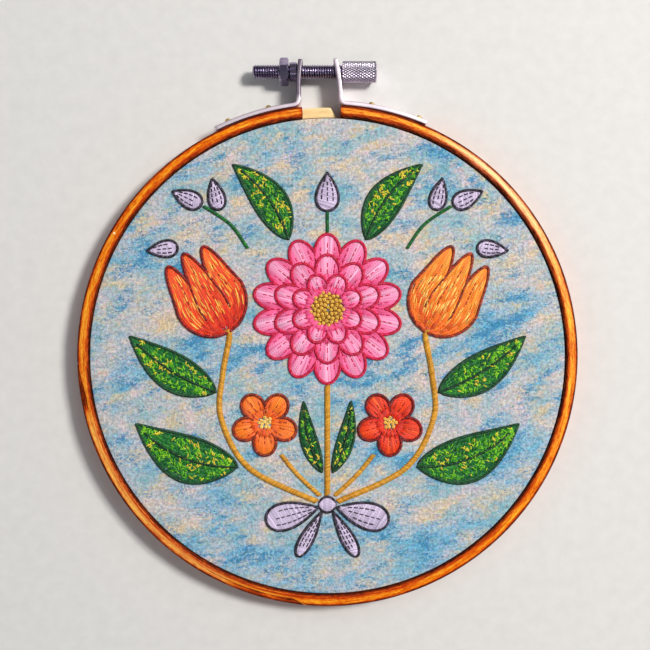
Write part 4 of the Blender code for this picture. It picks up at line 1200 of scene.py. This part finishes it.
def nut(name, node, outline, chamfer):
    """Nut round the screw: its outline's radius at each angle, held under a cone at both faces."""
    low, high = corners_of(node)[0][0], corners_of(node)[1][0]
    angle = np.linspace(0.0, FULL_TURN, NUT_SIDES + 1)[:-1]
    rows = np.concatenate([low + NUT_ROWS, high - NUT_ROWS[::-1]])
    depth = np.minimum(rows - low, high - rows)[:, None]
    radius = np.minimum(outline(angle)[None, :], chamfer + NUT_CONE * depth)
    bore_rows = np.array([high, high - BORE_FLARE_DEPTH, low + BORE_FLARE_DEPTH, low])
    bore_radius = NUT_BORE_RADIUS + np.array([BORE_FLARE, 0.0, 0.0, BORE_FLARE])
    places = np.concatenate([rows, bore_rows])
    radius = np.concatenate([radius, bore_radius[:, None] * np.ones((1, NUT_SIDES))])
    distances = np.tile(places[:, None], NUT_SIDES)
    grid = about_axis((0.0, SCREW_Y, SCREW_Z), (1.0, 0.0, 0.0), distances, radius, angle)
    along = np.arange(len(places) + 1.0)
    surface = turned_out(looped(grid, along, np.linspace(0.0, FULL_TURN * 3, NUT_SIDES + 1)))
    piece = make_object(name, surface, FINISHES["nickel_painted_dark"], sharp=28.0)
    return fit(piece, "hoop", "nickel", node)


def round_outline(angle):
    """Radius of the collar: round."""
    return np.full_like(angle, COLLAR_RADIUS)


def hexagon_outline(angle):
    """Radius of the lock nut: six flat sides, at each angle the inner radius over the cosine."""
    sixth = math.pi / 3
    folded = (angle - NUT_TURN + sixth / 2) % sixth - sixth / 2
    return NUT_CORNER_RADIUS * math.cos(sixth / 2) / np.cos(sixth / 2 - np.abs(folded))


# Stitches

def unit(vectors):
    """Vectors of length one."""
    return vectors / np.maximum(np.linalg.norm(vectors, axis=-1, keepdims=True), 1e-9)


def threads(start, end, level=0.0, shade=0.5, seed=0, width=THREAD_WIDTH, arch=0.06, shape=LONG_STITCH,
            sides=STITCH_SIDES):
    """Stitches as short tubes of thread that rise out of the cloth, run flat and dive in again.

    start and end are (stitches, 2).  The plan is a straight line, and the height is level plus an
    arch, less the dive at both ends, along the rows of shape.  Each section is an ellipse.
    """
    start, end = np.asarray(start, float), np.asarray(end, float)
    count = len(start)
    draw = np.random.default_rng(seed)
    times, dive, taper = shape.T
    line = unit(end - start)
    aside = np.stack([-line[:, 1], line[:, 0]], -1)
    plan = start[:, None] + (end - start)[:, None] * times[None, :, None]
    lift = draw.uniform(0.0, 0.06, count)[:, None]
    base = CLOTH_TOP + THREAD_HEIGHT * 0.45 + np.broadcast_to(level, (count,))[:, None] + lift
    arched = base + arch * np.sin(math.pi * times)[None, :]
    height = arched + (CLOTH_TOP - STITCH_DIVE - arched) * dive[None, :]
    middle = np.concatenate([plan, height[..., None]], -1)
    along = unit(np.gradient(middle, axis=1))
    across = np.broadcast_to(np.append(aside, np.zeros((count, 1)), axis=1)[:, None], along.shape)
    up = np.cross(along, across)
    angle = np.linspace(0.0, FULL_TURN, sides + 1)[:-1] + 0.3
    wide = (width * draw.uniform(0.92, 1.1, count)[:, None] * taper / 2)[..., None, None]
    tall = (THREAD_HEIGHT * taper / 2)[None, :, None, None]
    grid = (middle[:, :, None] + across[:, :, None] * wide * np.cos(angle)[:, None]
            + up[:, :, None] * tall * np.sin(angle)[:, None])
    length = np.linalg.norm(end - start, axis=1)[:, None] * times + draw.uniform(0, 50, count)[:, None]
    tone = draw.uniform(0.0, 1.0, count)
    shades = np.broadcast_to(np.asarray(shade, float), (count,))
    surface = capped(grid, length, np.linspace(0.0, 1.0, sides + 1), {"tone": tone, "shade": shades})
    surface.laid = np.column_stack([start, end, shades, np.full(count, width)])
    return surface


def knots(centres, radius, level, shade, seed):
    """French knots: two turns of thread, one on the other, each a ring of round section."""
    draw = np.random.default_rng(seed)
    turns = []
    around = np.linspace(0.0, FULL_TURN, 9)
    angle = np.linspace(0.0, FULL_TURN, 6)[:-1]
    for layer, (size, thick) in enumerate(((1.0, 0.42), (0.62, 0.40))):
        big = radius * size * draw.uniform(0.9, 1.1, len(centres))[:, None, None]
        lean = draw.uniform(0, FULL_TURN, len(centres))[:, None, None]
        small = radius * thick
        ring = around[None, :, None] + lean
        reach = big + small * np.cos(angle)
        x = centres[:, 0][:, None, None] + reach * np.cos(ring)
        y = centres[:, 1][:, None, None] + reach * np.sin(ring)
        tilt = 0.12 * radius * np.cos(around[None, :, None])
        z = CLOTH_TOP + level + small * (0.8 + 1.2 * layer + np.sin(angle)) + tilt
        grid = np.stack([x, y, np.broadcast_to(z, x.shape)], -1)
        length = np.broadcast_to(around * radius, (len(centres), len(around)))
        turns.append(capped(grid, length, np.linspace(0.0, 1.0, 6),
                            {"tone": draw.uniform(0.2, 1.0, len(centres)), "shade": shade}))
    return joined(turns)


def evenly(path, pitch):
    """Points at even steps of about the pitch along a line of points."""
    path = np.asarray(path, float)
    reach = np.concatenate([[0.0], np.cumsum(np.linalg.norm(np.diff(path, axis=0), axis=1))])
    stops = np.linspace(0.0, reach[-1], max(int(round(reach[-1] / pitch)), 1) + 1)
    return np.stack([np.interp(stops, reach, path[:, axis]) for axis in (0, 1)], -1)


def back_stitch(path, level, shade, seed, length=1.7, width=THREAD_WIDTH):
    """A drawn line: stitches end to end along a path."""
    points = evenly(path, length)
    return threads(points[:-1], points[1:], level, shade, seed, width, 0.05, SHORT_STITCH)


def smooth_path(points):
    """Smooth curve through the given points: a cubic from each to the next, steered by its neighbours."""
    p = np.array([points[0], *points, points[-1]], float)
    before, start, end, after = p[:-3, None], p[1:-2, None], p[2:-1, None], p[3:, None]
    t = (np.arange(PATH_STEPS) / PATH_STEPS)[None, :, None]
    curve = 0.5 * (2 * start + (end - before) * t + (2 * before - 5 * start + 4 * end - after) * t ** 2
                   + (3 * start - before - 3 * end + after) * t ** 3)
    return np.concatenate([curve.reshape(-1, 2), p[-1:]])


def satin_band(path, width, shade, seed, slant=0.5, level=0.0, pitch=STITCH_PITCH):
    """Band of close stitches from edge to edge along a path, all slanting the same way, over a core."""
    centre = evenly(path, pitch)
    along = unit(np.gradient(centre, axis=0))
    aside = np.stack([-along[:, 1], along[:, 0]], -1)
    draw = np.random.default_rng(seed)
    half = width / 2 * draw.uniform(0.94, 1.08, len(centre))[:, None]
    lean = along * slant * width / 2
    return threads(centre + aside * half - lean, centre - aside * half + lean, level,
                   np.clip(shade + draw.normal(0, 0.07, len(centre)), 0, 1), seed + 1,
                   THREAD_WIDTH * max(1.05, 1.15 * pitch / STITCH_PITCH), 0.10 + 0.14 * width,
                   SHORT_STITCH if width < 1.0 else LONG_STITCH)


def outline_band(path, width, shade, seed, slant, level):
    """Dark line round or along a motif: a narrow band whose stitches slant far over."""
    return satin_band(path, width, shade, seed, slant, level, OUTLINE_PITCH)


def rosette(petals, valley, tip, angle):
    """Radius of a flower: it swings between valley and tip as a rounded cosine."""
    return valley + (tip - valley) * np.abs(np.cos(petals * angle / 2)) ** 0.75


def radial_row(centre, turn, low, high, level, shade, seed):
    """Stitches that radiate from a flower's middle, from a radius to the one that high gives."""
    count = int(FULL_TURN * np.max(high(np.linspace(0, FULL_TURN, 90))) * 0.93 / STITCH_PITCH)
    angle = np.arange(count) * FULL_TURN / count
    draw = np.random.default_rng(seed)
    inner = low + draw.uniform(-0.5, 0.5, count)
    lean = angle + turn
    start, end = centre + polar(inner, lean), centre + polar(high(angle), lean)
    return threads(start, end, level, shade(angle, draw), seed + 1, width=THREAD_WIDTH * 1.05)


def petal_lines(centre, row, seed, level):
    """Outline of a row of petals, the folds between them and a few veins along each."""
    petals, inner, valley, tip, turn, _ = row
    turn = math.radians(turn)
    angle = np.linspace(0.0, FULL_TURN, petals * 16 + 1)
    edge = centre + polar(rosette(petals, valley, tip, angle) - 0.1, angle + turn)
    lines = [outline_band(edge, OUTLINE_WIDTH, OUTLINE_SHADE, seed, 1.1, level)]
    draw = np.random.default_rng(seed + 5)
    spacing = FULL_TURN / petals
    for petal in range(petals):
        fold = (petal + 0.5) * spacing + turn
        reach = np.linspace(valley - 0.1, inner + (valley - inner) * draw.uniform(0.2, 0.45), 5)
        swing = fold + 0.10 * spacing * np.linspace(0.0, 1.0, 5) ** 2 * draw.choice([-1, 1])
        lines.append(back_stitch(centre + polar(reach, swing), level, 0.02, seed + 10 + petal, 1.6))
        for vein in PETAL_VEINS:
            near = valley + (tip - valley) * draw.uniform(0.25, 0.6) * (1 - abs(vein))
            far = inner + (valley - inner) * draw.uniform(0.35, 0.75)
            lean = petal * spacing + turn + vein * spacing * np.linspace(0.85, 1.0, 4)
            veined = centre + polar(np.linspace(near, far, 4), lean)
            lines.append(back_stitch(veined, level, 0.12, seed + 40 + petal, 1.9, THREAD_WIDTH * 0.85))
    return lines


def flower(centre, row, seed, shades):
    """One row of petals: two staggered rounds of radial stitches and the lines over them.

    shades are the thread's shade at the petals' inner end, along their middle and at their flanks.
    """
    petals, inner, valley, tip, turn, level = row
    split = inner + (valley - inner) * PETAL_SPLIT

    def reach(angle):
        return rosette(petals, valley, tip, angle)

    def inner_shade(angle, draw):
        return np.clip(draw.normal(shades[0], 0.10, len(angle)), 0, 1)

    def outer_shade(angle, draw):
        flank = np.abs(np.sin(petals * angle / 2)) ** 2
        return np.clip(draw.normal(shades[1], 0.08, len(angle)) * (1 - flank) + shades[2] * flank, 0, 1)

    turn = math.radians(turn)
    inside = radial_row(centre, turn, inner, lambda angle: np.full_like(angle, split + 0.8), level,
                        inner_shade, seed)
    outside = radial_row(centre, turn, split, reach, level + 0.03, outer_shade, seed + 2)
    return [inside, outside, *petal_lines(centre, row, seed + 100, level + PETAL_LINE_RISE)]


def disc_points(count, radius):
    """Points spread evenly over a disc, turned from one to the next by the golden angle."""
    index = np.arange(count) + 0.5
    return polar(radius * np.sqrt(index / count), index * math.pi * (3 - math.sqrt(5)))


def tulip_place(across, rise):
    """Point of a tulip on the right: across from -1 to 1 and rise from 0 at the base to 1 at the rim.

    The rim has three rounded tips.  Below the shoulder the cup is half an ellipse wide, and above it
    narrows to the rim.
    """
    shoulder = 0.42 * TULIP_HEIGHT
    tips = np.abs(np.cos(1.5 * math.pi * across)) ** 0.8
    height = TULIP_HEIGHT * (0.70 + 0.30 * tips) * (1 - 0.06 * np.abs(across)) * rise
    low = np.clip(1 - height / shoulder, 0.0, 1.0)
    upper = np.clip((height - shoulder) / (0.66 * TULIP_HEIGHT - shoulder), 0.0, 1.0)
    half = TULIP_WIDTH * (0.5 * np.sqrt(1 - low ** 2) - 0.07 * upper)
    along = polar(1.0, math.radians(TULIP_ANGLE))
    aside = np.array([-along[1], along[0]])
    return TULIP_BASE + along * height[..., None] + aside * (across * half)[..., None]


def tulip(extra):
    """Tulip stitched in staggered rows that follow its meridians, with flecks, an outline and folds."""
    seed = TULIP_SEED + extra
    draw = np.random.default_rng(seed)
    surfaces = []
    last = len(TULIP_ROWS) - 1
    for number, (low, high, count) in enumerate(TULIP_ROWS):
        across = np.linspace(-0.985, 0.985, count)
        ragged = 0.12 * (high - low)
        start = np.clip(low + draw.uniform(-ragged, ragged, count) * (number > 0), 0, 1)
        end = np.clip(high + draw.uniform(-ragged, ragged, count) * (number < last), 0, 1)
        tone = np.interp(number, np.linspace(0, last, len(TULIP_SHADES)), TULIP_SHADES)
        shade = np.clip(draw.normal(tone, 0.09, count), 0.16, 1)
        surfaces.append(threads(tulip_place(across, start), tulip_place(across, end), 0.015 * number, shade,
                                seed + number, THREAD_WIDTH * 1.1))
    across = draw.uniform(-0.9, 0.9, TULIP_FLECKS)
    low = draw.uniform(0.18, 0.80, TULIP_FLECKS)
    high = low + draw.uniform(0.08, 0.15, TULIP_FLECKS)
    surfaces.append(threads(tulip_place(across, low), tulip_place(across, high), 0.18,
                            draw.uniform(0.8, 1.0, TULIP_FLECKS), seed + 17, THREAD_WIDTH * 0.9))
    rim = np.linspace(-1.0, 1.0, 61)
    up = np.linspace(1.0, 0.0, 31)[1:]
    edge = np.concatenate([tulip_place(-np.ones_like(up), up[::-1]), tulip_place(rim, np.ones_like(rim)),
                           tulip_place(np.ones_like(up), up)])
    surfaces.append(outline_band(edge, OUTLINE_WIDTH, 0.05, seed + 18, 1.1, 0.16))
    up = np.linspace(0.0, 1.0, 24)
    for side in (-1.0, 1.0):
        fold = side / 3 * (1 + 0.25 * (1 - up))
        surfaces.append(outline_band(tulip_place(fold, 0.30 + 0.68 * up), 0.6, 0.05, seed + 20, 1.3, 0.16))
    for vein, low, high in TULIP_VEINS:
        line = np.linspace(low, high, 8)
        surfaces.append(back_stitch(tulip_place(np.full(8, vein), line), 0.2, 0.08, seed + 21, 1.8, 0.4))
    return surfaces


def leaf_place(row, t, across):
    """Point of a leaf: t along the bowed midrib and across from -1 to 1 between its edges."""
    start, point, width, bow = row
    start, run = np.array(start), np.array(point) - np.array(start)
    aside = unit(np.array([-run[1], run[0]]))
    half = width / 2 * np.maximum(np.sin(math.pi * np.clip(t, 0, 1) ** 0.8), 0.0) ** 0.9
    return start + run * t[..., None] + aside * (4 * bow * t * (1 - t) + across * half)[..., None]


def clumps(points, seed):
    """Slow patches between about -1 and 1, from a few crossed waves."""
    draw = np.random.default_rng(seed)
    value = np.zeros(len(points))
    for size in (3.2, 5.1, 7.7, 2.3):
        way = polar(1.0, draw.uniform(0, FULL_TURN))
        other = polar(1.0, draw.uniform(0, FULL_TURN))
        value += np.sin(points @ way * FULL_TURN / size / 2 + draw.uniform(0, 6)) * np.sin(
            points @ other * FULL_TURN / size / 2 + draw.uniform(0, 6))
    return value / 1.6


def leaf(row, seed):
    """Leaf: a dark ground of short slanting stitches, lime and gold flecks over it, edge and midrib."""
    start, point, width, _ = row
    length = math.dist(start, point)
    draw = np.random.default_rng(seed)
    surfaces = []
    bands = max(int(round(width / 2 / 1.7)), 1)
    for side in (-1.0, 1.0):
        for band in range(bands):
            count = int(length / LEAF_PITCH)
            t = np.linspace(0.01, 0.97, count)
            inner, outer = band / bands, (band + 1) / bands
            lean = 1.5 / length
            from_t = np.clip(t - lean / 2 + draw.uniform(-0.3, 0.3, count) / length, 0, 1)
            to_t = np.clip(t + lean / 2, 0, 1)
            inside = side * np.clip(inner + draw.uniform(-0.06, 0.02, count), 0, 1)
            outside = side * np.clip(outer + draw.uniform(-0.02, 0.05, count) * (band < bands - 1), 0, 1)
            shade = np.clip(draw.normal(0.36 - 0.10 * (band == bands - 1), 0.08, count), 0.08, 0.5)
            surfaces.append(threads(leaf_place(row, from_t, inside), leaf_place(row, to_t, outside),
                                    0.0, shade, seed + band, LEAF_PITCH * 1.35, sides=4))
    flecks = int(length * width * 0.80)
    t = draw.uniform(0.07, 0.93, flecks)
    across = draw.uniform(-0.78, 0.78, flecks)
    place_on = leaf_place(row, t, across)
    grown = clumps(place_on, seed + 3)
    kept = grown > -0.55
    place_on, grown = place_on[kept], grown[kept]
    count = len(grown)
    heading = math.atan2(point[1] - start[1], point[0] - start[0])
    lean = heading + np.where(draw.uniform(size=count) < 0.5, 0.75, -0.75) + draw.normal(0, 0.35, count)
    size = draw.uniform(1.0, 1.9, count)
    lay_to = polar(size / 2, lean)
    gold = clumps(place_on, seed + 4) > 0.30
    shade = np.where(gold, draw.uniform(0.88, 1.0, count), draw.uniform(0.56, 0.80, count))
    surfaces.append(threads(place_on - lay_to, place_on + lay_to, draw.uniform(0.10, 0.24, count), shade,
                            seed + 5, THREAD_WIDTH * 0.92, 0.12, SHORT_STITCH))
    t = np.linspace(0.0, 1.0, 40)
    for side in (-0.97, 0.97):
        surfaces.append(outline_band(leaf_place(row, t, np.full(40, side)), 0.8, 0.08, seed + 6, 1.2, 0.05))
    surfaces.append(outline_band(leaf_place(row, t[:-4], np.zeros(36)), 0.7, 0.04, seed + 7, 1.2, 0.2))
    return surfaces


def drop_half(width, t):
    """Half width of a drop, widest a third of the way from its round end."""
    return 1.3 * width * np.sqrt(t) * (1 - t)


def drop(row, seed):
    """Bud or ribbon: lilac satin across a drop, dark lines along it and round its edge."""
    start, point, width = row
    start, run = np.array(start), np.array(point) - np.array(start)
    length = float(np.linalg.norm(run))
    aside = unit(np.array([-run[1], run[0]]))
    draw = np.random.default_rng(seed)

    def spot(t, across):
        return start + run * t[..., None] + aside * (across * drop_half(width, t))[..., None]

    count = int(length / STITCH_PITCH)
    t = np.linspace(0.02, 0.97, count)
    lean = 0.25 * width / length
    shade = np.clip(draw.normal(0.88, 0.09, count), 0.55, 1)
    surfaces = [threads(spot(np.clip(t - lean / 2, 0.005, 1), np.full(count, -1.0)),
                        spot(np.clip(t + lean / 2, 0.005, 0.995), np.full(count, 1.0)), 0.0, shade, seed,
                        THREAD_WIDTH * 1.1, arch=0.14)]
    turn = np.linspace(0.0, FULL_TURN, 49)
    along = 0.5 - 0.5 * np.cos(turn)
    edge = spot(along, 0.95 * np.sign(np.sin(turn)))
    surfaces.append(outline_band(edge, 0.7, OUTLINE_SHADE, seed + 1, 1.3, 0.10))
    for line in (-0.5, 0.0, 0.5):
        low, high = draw.uniform(0.12, 0.3), draw.uniform(0.66, 0.9)
        run_t = np.linspace(low, high, 8)
        surfaces.append(back_stitch(spot(run_t, np.full(8, line)), 0.26, 0.05, seed + 2, 1.7))
    return surfaces


def mirrored(surfaces):
    """The same stitches on the other side of the centre line; stitched() turns their faces out again."""
    for surface in surfaces:
        surface.points = surface.points * np.array([-1.0, 1.0, 1.0])
        surface.laid = surface.laid * np.array([-1.0, 1.0, -1.0, 1.0, 1.0, 1.0])
    return surfaces


# For each thread, the stitches laid so far, as rows of Surface.laid
UNDERSIDE = {}


def stitched(name, surfaces, slot):
    """One embroidered motif as a piece in place of its pad; its stitches are kept for the underside."""
    surface = joined(surfaces)
    UNDERSIDE.setdefault(slot, []).append(surface.laid)
    piece = make_object(name + "_stitches", turned_out(surface), FINISHES[slot], sharp=ALL_SMOOTH)
    return fit(piece, "hoop", slot, name)


def underside(slot, laid):
    """Back of the work: each third stitch passes under the cloth too, flatter, wider and untidy.

    The path is a straight line with both ends pushed about, and the height is an arch below the
    cloth that starts and ends inside it.
    """
    laid = laid[::UNDERSIDE_STEP]
    draw = np.random.default_rng(len(laid))
    count = len(laid)
    start, end = laid[:, :2], laid[:, 2:4]
    line = unit(end - start) * UNDERSIDE_LONGER
    start = start - line + draw.normal(0, UNDERSIDE_PUSH, (count, 2))
    end = end + line + draw.normal(0, UNDERSIDE_PUSH, (count, 2))
    t = np.array([0.0, 0.2, 0.8, 1.0])
    plan = start[:, None] + (end - start)[:, None] * t[None, :, None]
    low = CLOTH_TOP - CLOTH_THICKNESS - UNDERSIDE_HALF_HEIGHT - draw.uniform(0.0, 0.14, count)[:, None]
    height = low + (CLOTH_TOP - 0.15 - low) * np.array([1.0, 0.0, 0.0, 1.0])
    middle = np.concatenate([plan, height[..., None]], -1)
    along = unit(end - start)
    across = np.column_stack([-along[:, 1], along[:, 0], np.zeros(count)])[:, None, None]
    angle = np.linspace(0.0, FULL_TURN, 5)[:-1] + math.pi / 4
    taper = np.array([0.4, 1.0, 1.0, 0.4])[:, None, None]
    half = laid[:, 5][:, None, None, None] * UNDERSIDE_WIDER * taper
    up = np.array([0.0, 0.0, UNDERSIDE_HALF_HEIGHT]) * taper
    grid = middle[:, :, None] + across * half * np.cos(angle)[:, None] + up * np.sin(angle)[:, None]
    length = np.linalg.norm(end - start, axis=1)[:, None] * t
    marks = {"tone": draw.uniform(0.0, 1.0, count), "shade": laid[:, 4]}
    surface = turned_out(capped(grid, length, np.linspace(0.0, 1.0, 5), marks))
    return fit(make_object(slot + "_underside", surface, FINISHES[slot], sharp=ALL_SMOOTH), "hoop", slot)


def stitch_pair(name, build, slots):
    """A motif on the right and its mirror image on the left, stitched afresh."""
    stitched(name + "_right", build(0), slots[0])
    stitched(name + "_left", mirrored(build(LEFT_SEEDS)), slots[1])


def bloom_petals():
    """The bloom's rows of petals, one on the other."""
    surfaces = []
    for number, row in enumerate(BLOOM_ROWS):
        surfaces += flower(BLOOM_CENTRE, row, BLOOM_SEED + BLOOM_SEED_STEP * number, BLOOM_SHADES)
    return surfaces


def bloom_eye():
    """The bloom's eye: knots spread over a ground of short stitches that lie all ways."""
    ground = BLOOM_CENTRE + disc_points(EYE_GROUND_STITCHES, EYE_RADIUS - 0.4)
    half = polar(EYE_STITCH_HALF, np.arange(EYE_GROUND_STITCHES) * EYE_STITCH_TURN)
    spots = BLOOM_CENTRE + disc_points(EYE_KNOTS, EYE_RADIUS - 0.5)
    return [threads(ground - half, ground + half, 0.1, 0.2, EYE_SEED, THREAD_WIDTH * 2),
            knots(spots, KNOT_SIZE, 0.30, np.full(EYE_KNOTS, 0.85), EYE_SEED + 1)]


def small_flower(extra):
    """Small flower: one row of petals and a few knots in its middle."""
    seed = SMALL_FLOWER_SEED + extra
    spots = SMALL_FLOWER_CENTRE + disc_points(SMALL_EYE_KNOTS, SMALL_EYE_RADIUS)
    return [*flower(SMALL_FLOWER_CENTRE, SMALL_FLOWER_ROW, seed, SMALL_FLOWER_SHADES),
            knots(spots, KNOT_SIZE, 0.2, np.full(SMALL_EYE_KNOTS, 0.97), seed + 100)]


def bow_knot():
    """Knot of the bow: satin up and down a disc, with an outline round it."""
    x = np.linspace(-0.93, 0.93, BOW_KNOT_STITCHES) * BOW_KNOT_RADIUS
    half = np.sqrt(BOW_KNOT_RADIUS ** 2 - x ** 2)
    low, high = BOW_KNOT_CENTRE + np.stack([x, -half], -1), BOW_KNOT_CENTRE + np.stack([x, half], -1)
    ring = BOW_KNOT_CENTRE + polar(BOW_KNOT_RADIUS - 0.1, np.linspace(0, FULL_TURN, 33))
    return [threads(low, high, 0.05, 0.9, BOW_KNOT_SEED, arch=0.4),
            outline_band(ring, 0.6, OUTLINE_SHADE, BOW_KNOT_SEED + 1, 1.2, 0.15)]


def stem(thread, width, points, seed):
    """Stem or sprig: one satin band along a smooth path."""
    return [satin_band(smooth_path(points), width, STEM_SHADES[thread], seed)]


def embroidery():
    """Every motif of the spray, and then each thread's stitches on the back."""
    stitched("bloom_petals", bloom_petals(), "pink_thread")
    stitched("bloom_eye", bloom_eye(), "gold_thread")
    stitch_pair("small_flower", small_flower, ("red_thread", "orange_thread"))
    stitch_pair("tulip", tulip, ("orange_thread", "red_thread"))
    for number, (name, row) in enumerate(LEAVES.items()):
        seed = LEAF_SEED + SEED_STEP * number
        stitch_pair(name, lambda extra: leaf(row, seed + extra), ("green_thread", "green_thread"))
    for number, (name, shape) in enumerate(SIDE_STEMS.items()):
        seed = SIDE_STEM_SEED + SEED_STEP * number
        stitch_pair(name, lambda extra: stem(*shape, seed + extra), (shape[0], shape[0]))
    for number, (name, row) in enumerate(DROPS.items()):
        seed = DROP_SEED + SEED_STEP * number
        stitch_pair(name, lambda extra: drop(row, seed + extra), ("white_thread", "white_thread"))
    for number, (name, shape) in enumerate(CENTRE_STEMS.items()):
        stitched(name, stem(*shape, CENTRE_STEM_SEED + SEED_STEP * number), shape[0])
    stitched("bud_centre", drop(CENTRE_BUD, BUD_SEED), "white_thread")
    stitched("bow_knot", bow_knot(), "white_thread")
    for slot, laid in UNDERSIDE.items():
        underside(slot, np.concatenate(laid))


# Setting

def studio():
    """Pale floor, lights and the camera straight above.

    The light is soft and comes mostly from the upper right, with a narrow strip of light low down.
    """
    mesh = bpy.data.meshes.new("floor")
    corners = [(x * FLOOR_REACH, y * FLOOR_REACH, 0.0) for x, y in ((-1, -1), (1, -1), (1, 1), (-1, 1))]
    mesh.from_pydata(corners, [], [(0, 1, 2, 3)])
    mesh.materials.append(pale_floor())
    floor = bpy.data.objects.new("floor", mesh)
    floor.location.z = -FLOOR_DROP * MM
    bpy.context.scene.collection.objects.link(floor)
    for name, (spot, size, power, colour) in LAMPS.items():
        lamp = bpy.data.lights.new(name, "AREA")
        lamp.shape = "RECTANGLE"
        lamp.size, lamp.size_y = size
        lamp.energy = power
        lamp.color = colour
        holder = bpy.data.objects.new(name, lamp)
        holder.location = spot
        holder.rotation_euler = (-Vector(spot)).to_track_quat("-Z", "Y").to_euler()
        bpy.context.scene.collection.objects.link(holder)
    world = bpy.data.worlds.new("soft_light")
    bpy.context.scene.world = world
    world.use_nodes = True
    sky = world.node_tree.nodes["Background"]
    sky.inputs["Color"].default_value = SKY_COLOUR
    sky.inputs["Strength"].default_value = SKY_STRENGTH
    lens = bpy.data.cameras.new("camera")
    lens.lens = CAMERA_LENS
    lens.sensor_width = CAMERA_SENSOR
    lens.clip_start = 0.01
    camera = bpy.data.objects.new("camera", lens)
    camera.location = place(np.array([CAMERA_X, CAMERA_Y, CAMERA_HEIGHT]))
    bpy.context.scene.collection.objects.link(camera)
    bpy.context.scene.camera = camera
    bpy.context.scene.view_settings.view_transform = "Standard"


studio()
outer_ring()
lap_leaf()
inner_ring()
split_filler()
stretched_cloth()
bracket("bracket_left", BRACKET_LEFT, ("pin_1", "pin_2"))
bracket("bracket_right", BRACKET_RIGHT, ("pin_3", "pin_4"))
for pin_name, pin_degrees in PIN_ANGLES.items():
    pin(pin_name, pin_degrees)
screw_thread()
screw_head()
nut("collar_round", "nut_collar", round_outline, COLLAR_CHAMFER_RADIUS)
nut("lock_nut_hexagonal", "lock_nut", hexagon_outline, NUT_CHAMFER_RADIUS)
embroidery()
